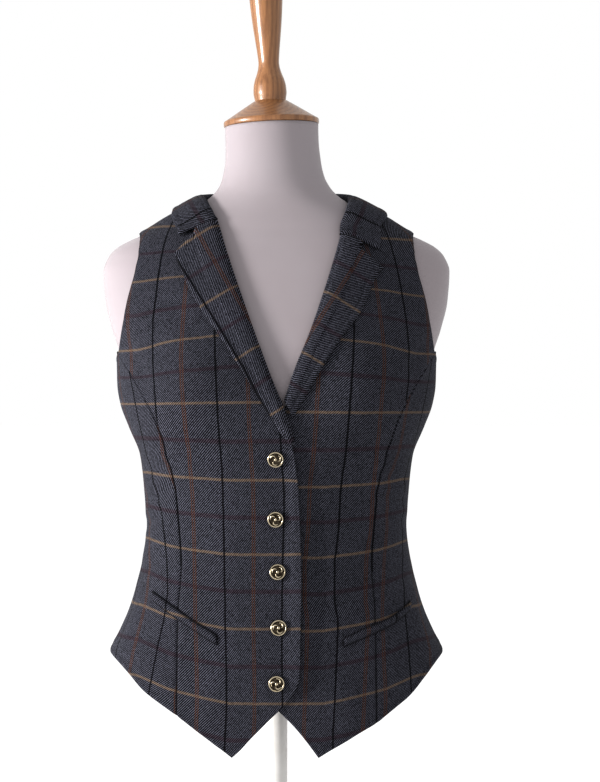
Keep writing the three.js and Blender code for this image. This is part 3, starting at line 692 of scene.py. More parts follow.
def front_panel(hand):
    front = FRONTS[hand]
    side = front["side"]
    marks, tip = hem_border(front["hem"])
    near = (0.004, 0.008, 0.013, 0.02, 0.028, 0.036, 0.044, 0.054)
    across = steps(62, near, near, keep=[marks[tip]["share"]])
    upward = FRONT_ROWS
    first = float(turn_at_out(front["hem"][0]["out"], front["hem"][0]["z"]))
    last = float(turn_at_out(curve(PRINCESS, "out", front["hem"][-1]["z"]), front["hem"][-1]["z"]))
    tip_share = marks[tip]["share"]
    hem_z = np.where(
        across <= tip_share,
        curve(marks[: tip + 1], "z", across, "share"),
        curve(marks[tip:], "z", across, "share"),
    )
    bottom = (first + (last - first) * across, hem_z)
    rows = [{"turn": float(turn_at_out(r["out"], r["z"])), "z": r["z"]} for r in front["edge"]]
    rows.append({"turn": float(turn_at_depth(SEAM_Y, NECK_POINT)), "z": NECK_POINT})
    spots = np.array([figure(side, np.array(r["turn"]), np.array(float(r["z"]))) for r in rows])
    lengths = np.concatenate([[0], np.cumsum(np.linalg.norm(np.diff(spots, axis=0), axis=1))])
    rows = [{**row, "length": length} for row, length in zip(rows, lengths)]
    inner = [curve(rows, key, upward * lengths[-1], "length") for key in ("turn", "z")]
    tucked = (FOLD_SHIFT[hand] + TUCK["more"]) * ease((inner[1] - TUCK["starts"]) / TUCK["over"])
    tucked = tucked * ease((NECK_POINT - inner[1]) / TUCK["top"])
    inner[0] = inner[0] - tucked / turn_step(side, inner[0], inner[1])
    low = upward <= BODY_SHARE
    foot_z = front["hem"][-1]["z"]
    seam_z = foot_z + (ARMHOLE_JOIN - foot_z) * np.minimum(upward / BODY_SHARE, 1)
    seam_turn = turn_at_out(curve(PRINCESS, "out", seam_z), seam_z)
    angle = armhole_angle(ARMHOLE_JOIN)
    yoke = np.clip((upward - BODY_SHARE) / (1 - BODY_SHARE), 0, 1)
    hole_turn, hole_z = armhole(angle + (90 - angle) * yoke, -ARMHOLE["front"])
    outer = [np.where(low, seam_turn, hole_turn), np.where(low, seam_z, hole_z)]
    top_z = NECK_POINT + (SHOULDER_TIP - NECK_POINT) * across
    top = [turn_at_depth(SEAM_Y, top_z), top_z]
    meet(top, inner, outer)
    turn, z = fill(across, upward, bottom, top, inner, outer)
    height = panel_height(z) + overlap_rise(side, turn, z)
    if side < 0:
        height = height + edge_spring(turn, z)
    kinds = {"left": "edge", "low": "edge", "right": "seam", "high": "seam"}
    u, v = front_u(hand, turn, z), cloth_v(hand, turn, z)
    piece = cloth_piece(f"tweed_front_{hand}", side, turn, z, height, u, v, kinds)
    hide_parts(f"front_{hand}")
    return piece


def side_panel(hand):
    front = FRONTS[hand]
    side = front["side"]
    near = (0.006, 0.012, 0.02, 0.03, 0.042, 0.055)
    across = steps(48, near, near)
    shared = FRONT_ROWS[FRONT_ROWS <= BODY_SHARE + 1e-6] / BODY_SHARE
    upward = np.unique(np.round(np.concatenate([shared, SIDE_TOP_ROWS]), 6))
    start_z = front["side_hem"][0]["z"]
    start = float(turn_at_out(curve(PRINCESS, "out", start_z), start_z))
    end = float(turn_at_depth(SEAM_Y, SIDE_HEM))
    turns = start + (end - start) * across
    hem_z = start_z + (SIDE_HEM - start_z) * across
    for _ in range(4):
        out = np.abs(figure(1, turns, hem_z)[..., 0])
        beyond = turns < 0
        hem_z = np.where(beyond, SIDE_HEM, curve(front["side_hem"], "z", out, "out"))
    bottom = [turns, hem_z]
    seam_z = start_z + (ARMHOLE_JOIN - start_z) * upward
    inner = [turn_at_out(curve(PRINCESS, "out", seam_z), seam_z), seam_z]
    foot = ARMHOLE["z"] - ARMHOLE["half"]
    outer_z = SIDE_HEM + (foot - SIDE_HEM) * upward
    outer = [turn_at_depth(SEAM_Y, outer_z), outer_z]
    angle = armhole_angle(ARMHOLE_JOIN)
    top = list(armhole(angle + (-90 - angle) * across, -ARMHOLE["front"]))
    top[0][0], top[1][0] = inner[0][-1], inner[1][-1]
    top[0][-1], top[1][-1] = outer[0][-1], outer[1][-1]
    turn, z = fill(across, upward, bottom, top, inner, outer)
    kinds = {"left": "seam", "low": "edge", "right": "seam", "high": "edge"}
    u, v = side_u(hand, turn, z), cloth_v(hand, turn, z)
    piece = cloth_piece(f"tweed_side_{hand}", side, turn, z, panel_height(z), u, v, kinds)
    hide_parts(f"side_{hand}")
    return piece


def back_panel(hand):
    side = FRONTS[hand]["side"]
    near = (0.003, 0.007, 0.012, 0.018, 0.025)
    across = steps(80, near, near, keep=[BACK_NECK_SHARE])
    upward = steps(200, HEM_ROWS, TOP_ROWS, keep=[BODY_SHARE])
    seam_turn = turn_at_depth(SEAM_Y, SIDE_HEM)
    bottom = [-90 + (seam_turn + 90) * across, SIDE_HEM + 0 * across]
    low = upward <= BODY_SHARE
    body = np.minimum(upward / BODY_SHARE, 1)
    yoke = np.clip((upward - BODY_SHARE) / (1 - BODY_SHARE), 0, 1)
    inner_z = np.where(
        low,
        SIDE_HEM + (BACK_WAIST_ROWS_END - SIDE_HEM) * body,
        BACK_WAIST_ROWS_END + (BACK_NECK - BACK_WAIST_ROWS_END) * yoke,
    )
    inner = [-90 + 0 * inner_z, inner_z]
    foot = ARMHOLE["z"] - ARMHOLE["half"]
    seam_z = SIDE_HEM + (foot - SIDE_HEM) * body
    hole_turn, hole_z = armhole(-90 + 180 * yoke, ARMHOLE["back"])
    outer = [np.where(low, turn_at_depth(SEAM_Y, seam_z), hole_turn), np.where(low, seam_z, hole_z)]
    neck = np.clip(across / BACK_NECK_SHARE, 0, 1)
    shoulder = np.clip((across - BACK_NECK_SHARE) / (1 - BACK_NECK_SHARE), 0, 1)
    neck_z = BACK_NECK + (NECK_POINT - BACK_NECK) * neck * neck
    point_turn = turn_at_depth(SEAM_Y, NECK_POINT)
    shoulder_z = NECK_POINT + (SHOULDER_TIP - NECK_POINT) * shoulder
    under_collar = across <= BACK_NECK_SHARE
    top = [
        np.where(under_collar, -90 + (point_turn + 90) * neck, turn_at_depth(SEAM_Y, shoulder_z)),
        np.where(under_collar, neck_z, shoulder_z),
    ]
    meet(top, inner, outer)
    turn, z = fill(across, upward, bottom, top, inner, outer)
    kinds = {"left": "seam", "low": "edge", "right": "seam", "high": "seam"}
    u, v = back_u(side, turn, z), back_v(hand, turn, z)
    piece = cloth_piece(f"tweed_back_{hand}", side, turn, z, panel_height(z), u, v, kinds)
    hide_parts(f"back_{hand}")
    return piece


def turn_step(side, turn, z):
    """Millimetres along the figure for a degree of turn."""
    return np.linalg.norm(figure(side, turn + 0.5, z) - figure(side, turn - 0.5, z), axis=-1)


ROLL_ANGLES = np.linspace(-90, 75, 8)
ROLL_OUT = 0.95  # how far a fold stands out beside its line, in half thicknesses
FOLD_SHIFT = {"right": 3.7, "left": 4.1}  # room that the roll takes beside the fold's line
UNDER_SHARES = np.array([1, 0.7, 0.45, 0.25, 0.1])
ROLL_COLUMNS = len(UNDER_SHARES) + len(ROLL_ANGLES)
GORGE_SHARE = 0.41  # the part of a lapel's top that is sewn to the collar
TURNED_SHELL = 0.0015
COLLAR_CLOTH_START = 45  # keeps the tan lines off the collar


def with_roll(side, turn, z, height, low_height, under):
    """Adds columns that take the cloth round its fold and back under itself."""
    first_turn, first_z, first_height = turn[:, :1], z[:, :1], height[:, :1]
    step = turn_step(side, first_turn, first_z)
    ahead, rise = (turn[:, 1:2] - first_turn) * step, z[:, 1:2] - first_z
    size = np.hypot(ahead, rise)
    ahead, rise = ahead / size, rise / size
    centre = (first_height + low_height) / 2
    radius = (first_height - low_height) / 2
    a = np.radians(ROLL_ANGLES)[None, :]
    beyond = np.concatenate([-under * UNDER_SHARES[None, :], ROLL_OUT * radius * np.cos(a)], axis=1)
    tucked = low_height + 0 * beyond[:, : len(UNDER_SHARES)]
    heights = np.concatenate([tucked, centre + radius * np.sin(a)], axis=1)
    return (
        np.concatenate([first_turn - ahead * beyond / step, turn], axis=1),
        np.concatenate([first_z - rise * beyond, z], axis=1),
        np.concatenate([heights, height], axis=1),
    )


def lapel(hand):
    front = FRONTS[hand]
    side = front["side"]
    gorge = GORGES[hand]
    keep = (0.2, 0.4, 0.6, 0.8)
    across = steps(30, (0.02, 0.05), (0.012, 0.024, 0.04, 0.06, 0.08, 0.11, 0.14, 0.17), keep=keep)
    upward = steps(120, (0.002, 0.005, 0.01), (0.003, 0.006, 0.01, 0.015, 0.02, 0.026, 0.032, 0.04))
    shares, top_turn, top_z = [], [], []
    for k, t in enumerate((0, 0.25, 0.5)):
        shares.append(k / 5)
        top_turn.append(gorge[0] + (gorge[2] - gorge[0]) * t)
        top_z.append(gorge[1] + (gorge[3] - gorge[1]) * t - GORGE_GAP)
    for k, t in enumerate((0, 0.5, 1)):
        out = front["notch"][0] + (front["point"][0] - front["notch"][0]) * t
        level = front["notch"][1] + (front["point"][1] - front["notch"][1]) * t
        shares.append((k + 3) / 5)
        top_turn.append(float(turn_at_out(out, level)))
        top_z.append(level)
    top = [np.interp(across, shares, top_turn), np.interp(across, shares, top_z)]
    inner_z = front["lapel_fold"] + (top_z[0] - front["lapel_fold"]) * upward
    inner_out = curve(front["edge"], "out", inner_z) + FOLD_SHIFT[hand] * ease((inner_z - 470) / 60)
    inner = [turn_at_out(inner_out, inner_z), inner_z]
    first = front["lapel_edge"][0]["z"]
    outer_z = first + (front["point"][1] - first) * upward
    outer = [turn_at_out(curve(front["lapel_edge"], "out", outer_z), outer_z), outer_z]
    meet(top, inner, outer)
    bottom = [
        inner[0][0] + (outer[0][0] - inner[0][0]) * across,
        inner[1][0] + (outer[1][0] - inner[1][0]) * across,
    ]
    turn, z = fill(across, upward, bottom, top, inner, outer)
    base = panel_height(z) + overlap_rise(side, turn, z)
    roll = LAPEL_ROLL * np.sin(math.pi * np.sqrt(across))[None, :]
    height = base + LAYER + LAPEL_WALL + roll
    turn, z, height = with_roll(side, turn, z, height, base[:, :1] - WALL - 0.3, 4 + 0 * base[:, :1])
    x = figure(side, turn, z)[..., 0]
    grain = LAPEL_GRAIN[hand]
    lean = math.radians(grain["lean"])

    def across_grain(px, pz):
        return px * math.cos(lean) + pz * math.sin(lean)

    def along_grain(px, pz):
        return -px * math.sin(lean) + pz * math.cos(lean)

    half = bpy.context.scene.waistcoat_tweed.check_width / MM / 2
    u = across_grain(x, z) - across_grain(*grain["rust"]) + half
    v = (along_grain(x, z) - along_grain(*grain["tan"])) * LAPEL_TAKE_UP
    kinds = {"right": "edge", "high": "edge"}
    # Painted shade along the part of the lapel's top that is sewn to the collar
    gorge_shade = np.concatenate([np.zeros(ROLL_COLUMNS), np.where(across <= GORGE_SHARE, 1.0, 0.0)])
    piece = cloth_piece(
        f"tweed_lapel_{hand}", side, turn, z, height, u, v, kinds,
        folded=0.5, thick=TURNED_SHELL, share={"high": gorge_shade[None, :]},
    )
    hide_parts(f"lapel_{hand}")
    return piece


def collar():
    at = np.linspace(0, 16, 241)
    across = steps(20, (0.02, 0.05), (0.012, 0.024, 0.045, 0.07, 0.1, 0.14, 0.18))
    fold = [curve(COLLAR, key, at, "at") for key in ("fold", "fold_z")]
    edge = [curve(COLLAR, key, at, "at") for key in ("edge", "edge_z")]
    turn = fold[0][:, None] * (1 - across) + edge[0][:, None] * across
    z = fold[1][:, None] * (1 - across) + edge[1][:, None] * across
    over = EASE + NECK_EASE + WALL + LAYER
    lift = panel_height(z) + LAYER
    lift = lift + (over - lift) * ease((z - 650) / 20)
    height = lift + LAPEL_WALL + COLLAR_ROLL * np.sin(math.pi * np.sqrt(across))[None, :]
    # The stand goes down inside the neck to the top of the panels
    under = np.clip((z[:, :1] - BACK_NECK) * 1.05 + 1.5, 2.5, 15)
    turn, z, height = with_roll(-1, turn, z, height, 0.8 + 0 * z[:, :1], under)
    base = figure(-1, turn, z)
    middle = ROLL_COLUMNS + len(across) // 2
    length = from_borders(base)["low"][:, middle : middle + 1]
    u = length[len(at) // 2] - length + 0 * z
    down = from_borders(base)["left"]
    v = down[:, ROLL_COLUMNS : ROLL_COLUMNS + 1] - down + COLLAR_CLOTH_START
    kinds = {"right": "edge", "low": "edge", "high": "edge"}
    # The collar's two ends at the gorge carry painted shade
    piece = cloth_piece(
        "tweed_collar", -1, turn, z, height, u, v, kinds,
        folded=0, thick=TURNED_SHELL, share={"low": 0.8, "high": 0.8},
    )
    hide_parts("collar")
    return piece


WELT_OFF_MATCH = 4
WELT_SHELL = 0.0012


def welt(hand):
    front = FRONTS[hand]
    side = front["side"]
    rows = front["welt"]
    across = steps(64, (0.006, 0.012, 0.02), (0.006, 0.012, 0.02))
    upward = np.array([0, 0.05, 0.12, 0.22, 0.35, 0.5, 0.65, 0.78, 0.88, 0.95, 1.0])
    out = rows[0]["out"] + (rows[-1]["out"] - rows[0]["out"]) * across
    top, bottom = (curve(rows, key, out, "out") for key in ("top", "bottom"))
    z = bottom[None, :] + (top - bottom)[None, :] * upward[:, None]
    turn = turn_at_out(np.broadcast_to(out, z.shape), z)
    swell = 0.35 * np.sin(math.pi * upward)[:, None]
    height = panel_height(z) + overlap_rise(side, turn, z) + WELT_LIFT + WALL * 0.75 + WELT_PROUD + swell
    # The welt's top and bottom get painted shade lines
    kinds = {"left": "seam", "right": "seam", "low": "welt", "high": "welt"}
    u, v = front_u(hand, turn, z), cloth_v(hand, turn, z) - WELT_OFF_MATCH
    piece = cloth_piece(
        f"tweed_welt_{hand}", side, turn, z, height, u, v, kinds,
        folded=1, thick=WELT_SHELL,
    )
    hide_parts(f"pocket_welt_{hand}")
    return piece


# Materials


class Recipe:
    """A material and its nodes, built one link at a time."""

    def __init__(self, name):
        self.material = bpy.data.materials.new(name)
        self.material.use_nodes = True
        self.tree = self.material.node_tree
        self.shader = self.tree.nodes["Principled BSDF"]

    def node(self, kind, **settings):
        made = self.tree.nodes.new(kind)
        for key, value in settings.items():
            setattr(made, key, value)
        return made

    def link(self, value, socket):
        if isinstance(value, bpy.types.NodeSocket):
            self.tree.links.new(value, socket)
        else:
            socket.default_value = value

    def surface(self, name, value):
        self.link(value, self.shader.inputs[name])

    def math(self, operation, *values, clamp=False):
        made = self.node("ShaderNodeMath", operation=operation, use_clamp=clamp)
        for value, socket in zip(values, made.inputs):
            self.link(value, socket)
        return made.outputs[0]

    def plus(self, *values, clamp=False):
        return self.math("ADD", *values, clamp=clamp)

    def times(self, a, b):
        return self.math("MULTIPLY", a, b)

    def blend(self, amount, a, b):
        made = self.node("ShaderNodeMix", data_type="RGBA")
        self.link(amount, made.inputs[0])
        self.link(a, made.inputs[6])
        self.link(b, made.inputs[7])
        return made.outputs[2]

    def ramp(self, value, low, high):
        made = self.node("ShaderNodeMapRange", interpolation_type="SMOOTHSTEP")
        self.link(value, made.inputs["Value"])
        self.link(low, made.inputs["From Min"])
        self.link(high, made.inputs["From Max"])
        return made.outputs[0]

    def noise(self, vector, scale, detail=2.0, rough=0.5):
        made = self.node("ShaderNodeTexNoise")
        self.link(vector, made.inputs["Vector"])
        self.link(scale, made.inputs["Scale"])
        self.link(detail, made.inputs["Detail"])
        self.link(rough, made.inputs["Roughness"])
        return made.outputs[0]

    def bump(self, height, distance, strength=1.0):
        made = self.node("ShaderNodeBump")
        self.link(height, made.inputs["Height"])
        self.link(distance, made.inputs["Distance"])
        self.link(strength, made.inputs["Strength"])
        self.tree.links.new(made.outputs[0], self.shader.inputs["Normal"])


MATERIALS = {}
TWILL_RISE = 50  # degrees
THREAD = 0.00055
# Half width of each line of the check, and how far its border blurs, in metres
LINE_WIDTHS = {
    "maroon": (0.0021, 0.0006),
    "tan": (0.0013, 0.0006),
    "rust": (0.0006, 0.0004),
    "dark": (0.0009, 0.0004),
}
RUST_APART = 0.0011  # a rust line is two fine ones, each this far from the middle
TARNISH = (0.026, 0.018, 0.011, 1)


def tweed_material():
    if "tweed" in MATERIALS:
        return MATERIALS["tweed"]
    cloth = bpy.context.scene.waistcoat_tweed
    r = Recipe("wool tweed")
    coords = r.node("ShaderNodeUVMap", uv_map="cloth").outputs[0]
    split = r.node("ShaderNodeSeparateXYZ")
    r.link(coords, split.inputs[0])
    wander = r.noise(coords, 90.0, 2.0)
    shift = r.times(r.math("SUBTRACT", wander, 0.5), 0.0011)
    u = r.plus(split.outputs[0], shift)
    v = r.plus(split.outputs[1], shift)

    # Twill: light floats in diagonal rows, broken up thread by thread
    slant = 1 / math.tan(math.radians(TWILL_RISE))
    phase = r.math("DIVIDE", r.math("SUBTRACT", u, r.times(v, slant)), cloth.twill_pitch)
    wave = r.math("SINE", r.times(phase, 2 * math.pi))
    picks = r.node("ShaderNodeCombineXYZ")
    r.link(r.math("FLOOR", r.math("DIVIDE", u, THREAD)), picks.inputs[0])
    r.link(r.math("FLOOR", r.math("DIVIDE", v, THREAD * 1.7)), picks.inputs[1])
    speckle = r.node("ShaderNodeTexWhiteNoise", noise_dimensions="2D")
    r.link(picks.outputs[0], speckle.inputs["Vector"])
    uneven = r.noise(coords, 420.0, 2.0, 0.6)
    float_level = r.plus(wave, r.times(r.math("SUBTRACT", speckle.outputs[0], 0.5), 0.75))
    float_level = r.plus(float_level, r.times(r.math("SUBTRACT", uneven, 0.5), 0.9))
    floats = r.ramp(float_level, 0.1, 1.0)
    colour = r.blend(floats, tuple(cloth.ground), tuple(cloth.light))

    def line_at(coordinate, period, offset, half_width, soft):
        cell = r.math("FRACT", r.plus(r.math("DIVIDE", coordinate, period), 0.5 - offset / period))
        away = r.times(r.math("ABSOLUTE", r.math("SUBTRACT", cell, 0.5)), period)
        return r.math("SUBTRACT", 1.0, r.ramp(away, half_width - soft, half_width + soft))

    width, height = cloth.check_width, cloth.check_height
    over = r.plus(r.times(floats, 0.8), 0.12)
    maroon = line_at(v, height, height / 2, *LINE_WIDTHS["maroon"])
    seen = r.times(maroon, r.times(over, 0.6))
    colour = r.blend(seen, colour, tuple(cloth.maroon_line))
    tan = line_at(v, height, 0.0, *LINE_WIDTHS["tan"])
    seen = r.times(tan, r.plus(r.times(floats, 0.7), 0.25))
    colour = r.blend(seen, colour, tuple(cloth.tan_line))
    for offset in (-RUST_APART, RUST_APART):
        rust = line_at(u, width, width / 2 + offset, *LINE_WIDTHS["rust"])
        seen = r.times(rust, r.plus(r.times(over, 0.6), 0.2))
        colour = r.blend(seen, colour, tuple(cloth.rust_line))
    dark = line_at(u, width, 0.0, *LINE_WIDTHS["dark"])
    colour = r.blend(r.times(dark, 0.93), colour, tuple(cloth.dark_line_and_shade))

    # Slow changes of tone over the cloth
    slow = r.noise(coords, 14.0, 3.0)
    shade = r.node("ShaderNodeHueSaturation")
    r.link(colour, shade.inputs["Color"])
    r.link(r.plus(0.78, r.times(slow, 0.44)), shade.inputs["Value"])
    # Painted shade: the colour is drawn towards the dark line colour in the lines of seams, welts and
    # stitching, where the cloth lies in its own shade
    painted_shade = r.node("ShaderNodeAttribute", attribute_name="painted_shade").outputs["Fac"]
    colour_with_painted_shade = r.blend(r.times(painted_shade, 0.85), shade.outputs[0], tuple(cloth.dark_line_and_shade))
    r.surface("Base Color", colour_with_painted_shade)

    fibres = r.noise(coords, 2600.0, 2.0, 0.7)
    relief = r.plus(r.times(wave, 0.5), r.times(fibres, 0.45))
    relief = r.plus(relief, r.times(speckle.outputs[0], 0.15))
    r.bump(relief, 0.00018, 0.8)
    r.surface("Roughness", r.plus(0.82, r.times(fibres, 0.15)))
    r.surface("Sheen Weight", 0.03)
    r.surface("Sheen Roughness", 0.45)
    r.surface("Specular IOR Level", 0.1)
    MATERIALS["tweed"] = r.material
    return r.material


def object_coordinates(r, scale=(1, 1, 1), rotation=(0, 0, 0)):
    mapping = r.node("ShaderNodeMapping")
    r.link(r.node("ShaderNodeTexCoord").outputs["Object"], mapping.inputs["Vector"])
    mapping.inputs["Scale"].default_value = scale
    mapping.inputs["Rotation"].default_value = rotation
    return mapping.outputs[0]


def brass_material():
    r = Recipe("antique brass")
    bright = tuple(bpy.context.scene.waistcoat_trim.brass)
    coords = object_coordinates(r)
    tarnish = r.noise(coords, 420.0, 4.0, 0.6)
    sunk = r.node("ShaderNodeAttribute", attribute_name="hollow").outputs["Fac"]
    patchy = r.times(r.ramp(tarnish, 0.45, 0.7), 0.3)
    amount = r.plus(r.times(sunk, 0.9), patchy, clamp=True)
    r.surface("Base Color", r.blend(amount, bright, TARNISH))
    r.surface("Metallic", 1.0)
    r.surface("Roughness", r.plus(0.24, r.times(amount, 0.3)))
    r.bump(r.noise(coords, 2200.0, 3.0, 0.6), 0.00008, 0.5)
    return r.material


def jersey_material():
    r = Recipe("form jersey")
    cover = bpy.context.scene.waistcoat_stand.jersey
    coords = object_coordinates(r)
    slow = r.noise(coords, 9.0, 3.0, 0.5)
    soiled = tuple(c * f for c, f in zip(cover, (0.94, 0.925, 0.92, 1)))
    r.surface("Base Color", r.blend(r.ramp(slow, 0.3, 0.75), tuple(cover), soiled))
    split = r.node("ShaderNodeSeparateXYZ")
    r.link(coords, split.inputs[0])
    rows = r.math("SINE", r.times(split.outputs[2], 2 * math.pi / 0.0008))
    knit = r.noise(object_coordinates(r, scale=(1, 1, 2.2)), 1500.0, 2.0, 0.6)
    r.bump(r.plus(r.times(rows, 0.3), knit), 0.00009, 0.55)
    r.surface("Roughness", r.plus(0.7, r.times(knit, 0.2)))
    r.surface("Sheen Weight", 0.2)
    r.surface("Specular IOR Level", 0.25)
    return r.material


def wood_material():
    r = Recipe("turned wood")
    light = tuple(bpy.context.scene.waistcoat_stand.wood)
    turned = object_coordinates(r, rotation=(0.06, 0.045, 0), scale=(1, 1, 0.07))
    wobble = r.noise(turned, 22.0, 3.0, 0.5)
    split = r.node("ShaderNodeSeparateXYZ")
    r.link(turned, split.inputs[0])
    x = r.plus(split.outputs[0], 0.011)
    y = r.plus(split.outputs[1], 0.019)
    radius = r.math("SQRT", r.plus(r.times(x, x), r.times(y, y)))
    ring = r.plus(r.times(radius, 2 * math.pi / 0.0052), r.times(wobble, 7.0))
    rings = r.ramp(r.math("SINE", ring), -0.6, 1.0)
    streak = r.noise(object_coordinates(r, scale=(1, 1, 0.045)), 700.0, 3.0, 0.6)
    streaked = r.times(r.ramp(streak, 0.35, 0.75), 0.5)
    amount = r.plus(r.times(rings, 0.45), streaked, clamp=True)
    late = tuple(c * f for c, f in zip(light, (0.55, 0.48, 0.42, 1)))
    r.surface("Base Color", r.blend(amount, light, late))
    r.surface("Roughness", r.plus(0.3, r.times(streak, 0.18)))
    r.surface("Coat Weight", 0.45)
    r.surface("Coat Roughness", 0.18)
    r.bump(r.plus(streak, r.times(rings, 0.2)), 0.00012, 0.4)
    return r.material


def paint_material():
    r = Recipe("stand paint")
    paint = tuple(bpy.context.scene.waistcoat_stand.paint)
    coords = object_coordinates(r)
    mottled = r.noise(coords, 30.0, 4.0, 0.6)
    worn = tuple(c * f for c, f in zip(paint, (0.9, 0.89, 0.87, 1)))
    r.surface("Base Color", r.blend(r.ramp(mottled, 0.4, 0.75), paint, worn))
    r.surface("Roughness", r.plus(0.3, r.times(mottled, 0.2)))
    r.bump(r.noise(coords, 900.0, 2.0, 0.5), 0.00006, 0.5)
    return r.material


# Form, cap, stand and buttons


FORM_LEVELS = table(
    "z inset",
    (262, 9), (262.05, 5.5), (262.7, 3.2), (264, 1.4), (266.5, 0.4), (270, 0),
)
FORM_TOP = 774
# The cap leans, and the neck is cut to its underside
CAP_FOOT = {"x": -5, "z": 776.6, "climb": 0.0436, "clear": 0.35}
FORM_ROW = 3.2
FORM_SIDES = 168


def dress_form():
    """Builds the dress form."""
    low = [(row["z"], row["inset"]) for row in FORM_LEVELS]
    levels = low + [(float(z), 0.0) for z in np.arange(273, FORM_TOP - 1, FORM_ROW)] + [(FORM_TOP, 0.0)]
    turns = np.linspace(-180, 180, FORM_SIDES + 1)
    turn, z = np.meshgrid(turns, np.array([level[0] for level in levels]))
    inset = np.array([level[1] for level in levels])[:, None]
    points = lifted(1, turn, z, -FORM_INSET - inset + 0 * turn)
    points[..., 2] = np.where(inset > 1.4, z, points[..., 2])
    from_cap = points[-1, :, 0] - CAP_FOOT["x"]
    points[-1, :, 2] = CAP_FOOT["z"] + CAP_FOOT["climb"] * from_cap - CAP_FOOT["clear"]
    bm = sheet_mesh(points, turn, z, outward(1, turn, z))
    bmesh.ops.remove_doubles(bm, verts=bm.verts[:], dist=1e-6)
    rims = [edge for edge in bm.edges if edge.is_boundary]
    bmesh.ops.holes_fill(bm, edges=rims, sides=0)
    bmesh.ops.triangulate(bm, faces=[face for face in bm.faces if len(face.verts) > 4])
    piece = mesh_piece("jersey_form", bm, jersey_material())
    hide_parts("dress_form")


def spun(profile, sides):
    """A closed turned shape from its half outline, (radius, height) pairs in millimetres."""
    bm = bmesh.new()
    verts = [bm.verts.new((r * MM, 0, h * MM)) for r, h in profile]
    edges = [bm.edges.new(pair) for pair in zip(verts, verts[1:])]
    bmesh.ops.spin(
        bm, geom=verts + edges, cent=(0, 0, 0), axis=(0, 0, 1),
        angle=2 * math.pi, steps=sides, use_merge=True,
    )
    bmesh.ops.remove_doubles(bm, verts=bm.verts[:], dist=1e-7)
    bmesh.ops.recalc_face_normals(bm, faces=bm.faces[:])
    return bm


def softened(profile, count=7):
    """A half outline with its curves drawn through more points."""
    length = np.concatenate([[0], np.cumsum([math.dist(a, b) for a, b in zip(profile, profile[1:])])])
    rows = [{"s": s, "r": r, "h": h} for s, (r, h) in zip(length, profile)]
    fine = np.unique(np.concatenate([np.linspace(a, b, count) for a, b in zip(length, length[1:])]))
    return list(zip(curve(rows, "r", fine, "s"), curve(rows, "h", fine, "s")))


CAP_PLATE = [(0, 0), (46.4, 0), (47.2, 0.35), (47.7, 1.1), (47.7, 4.4), (47.2, 5.4), (45.6, 6.2)]
CAP_CONE = [(45.6, 6.2), (36, 12.4), (26, 18.8), (17.4, 24.2)]
CAP_BALL = [
    (17.4, 24.2), (15.5, 25.2), (15.9, 28), (16.6, 33), (16.3, 39), (14.9, 45.5), (12.5, 52), (10.9, 57.5),
]
CAP_KNOB = [
    (10.9, 57.5), (10.3, 63), (10.8, 70), (12.4, 84), (14.5, 102), (16.4, 124),
    (17.5, 142), (17.3, 156), (15.3, 164.4), (10.8, 169.3), (5, 171.5), (0, 172),
]
CAP_PLACE = (-0.005, 0.002, 0.7766)
CAP_LEAN = -2.5  # degrees


def neck_cap():
    """Builds the turned neck cap."""
    outline = CAP_PLATE[:-1] + CAP_CONE[:-1] + softened(CAP_BALL)[:-1] + softened(CAP_KNOB)
    outline[-1] = (0, 172)
    bm = spun(outline, 96)
    place = Matrix.Translation(CAP_PLACE) @ Matrix.Rotation(math.radians(CAP_LEAN), 4, "Y")
    bmesh.ops.transform(bm, matrix=place, verts=bm.verts[:])
    piece = mesh_piece("wood_neck_cap", bm, wood_material())
    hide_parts("neck_cap")


POST = [(0, 18.3), (10.6, 18.3), (11, 18.7), (11, 261.3), (10.6, 261.7), (0, 261.7)]
BASE = [
    (0, 0), (133.8, 0), (134.7, 0.4), (135, 1.2), (135, 13.6), (134.5, 15.6), (133.2, 17.1),
    (131, 18), (0, 18),
]


def stand():
    """Builds the post and the base."""
    paint = paint_material()
    post = mesh_piece("painted_post", spun(POST, 64), paint)
    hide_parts("stand_post")
    base = mesh_piece("painted_base", spun(BASE, 128), paint)
    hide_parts("stand_base")
    bevel = base.modifiers.new("Edges", "BEVEL")
    bevel.width = 0.0004
    bevel.segments = 2
    bevel.limit_method = "ANGLE"


BUTTON_OUTLINE = [
    (0, 0), (2.3, 0), (2.4, 0.1), (2.4, 1.1), (5, 1.25), (6.6, 1.5), (7.4, 1.95), (7.8, 2.5), (7.75, 3.1),
    (7.5, 3.6), (7.05, 3.88), (6.6, 3.85), (6.25, 3.5), (6.05, 3.05), (5.6, 2.9), (4, 2.95), (2.6, 3.1),
    (0, 3.2),
]
BUTTON_DOME = [(0, 2.9), (1.7, 2.9), (1.65, 3.5), (1.45, 4.0), (1.05, 4.35), (0.5, 4.55), (0, 4.6)]
HOLLOW = {"within": 6.3, "floor": 3.1, "deep": 0.6}  # where a button's face is tarnished
KNOT_ARMS = 3
KNOT = table(
    "t r turn size high",
    (0, 0.9, 0, 0.9, 3.9), (1, 2.6, 8, 1.15, 4.0), (2, 4.2, 26, 1.05, 3.8), (3, 5.1, 56, 0.75, 3.4),
    (4, 5.0, 84, 0.45, 3.05),
)


def knot_arm(bm, spin):
    """One arm of the raised knot: a bent, tapering round bar."""
    rings = []
    for t in np.linspace(0, 4, 15):
        r, turn, size, high = (float(curve(KNOT, key, t, "t")) for key in ("r", "turn", "size", "high"))
        angle = math.radians(turn + spin)
        centre = Vector((r * math.cos(angle), r * math.sin(angle), high))
        outside = Vector((math.cos(angle), math.sin(angle), 0))
        ring = []
        for k in range(8):
            a = 2 * math.pi * k / 8
            spot = centre + outside * size * math.cos(a) + Vector((0, 0, size * math.sin(a)))
            ring.append(bm.verts.new(spot * MM))
        rings.append(ring)
    for low, high in zip(rings, rings[1:]):
        for k in range(8):
            bm.faces.new((low[k], low[(k + 1) % 8], high[(k + 1) % 8], high[k]))
    bm.faces.new(rings[0])
    bm.faces.new(rings[-1][::-1])


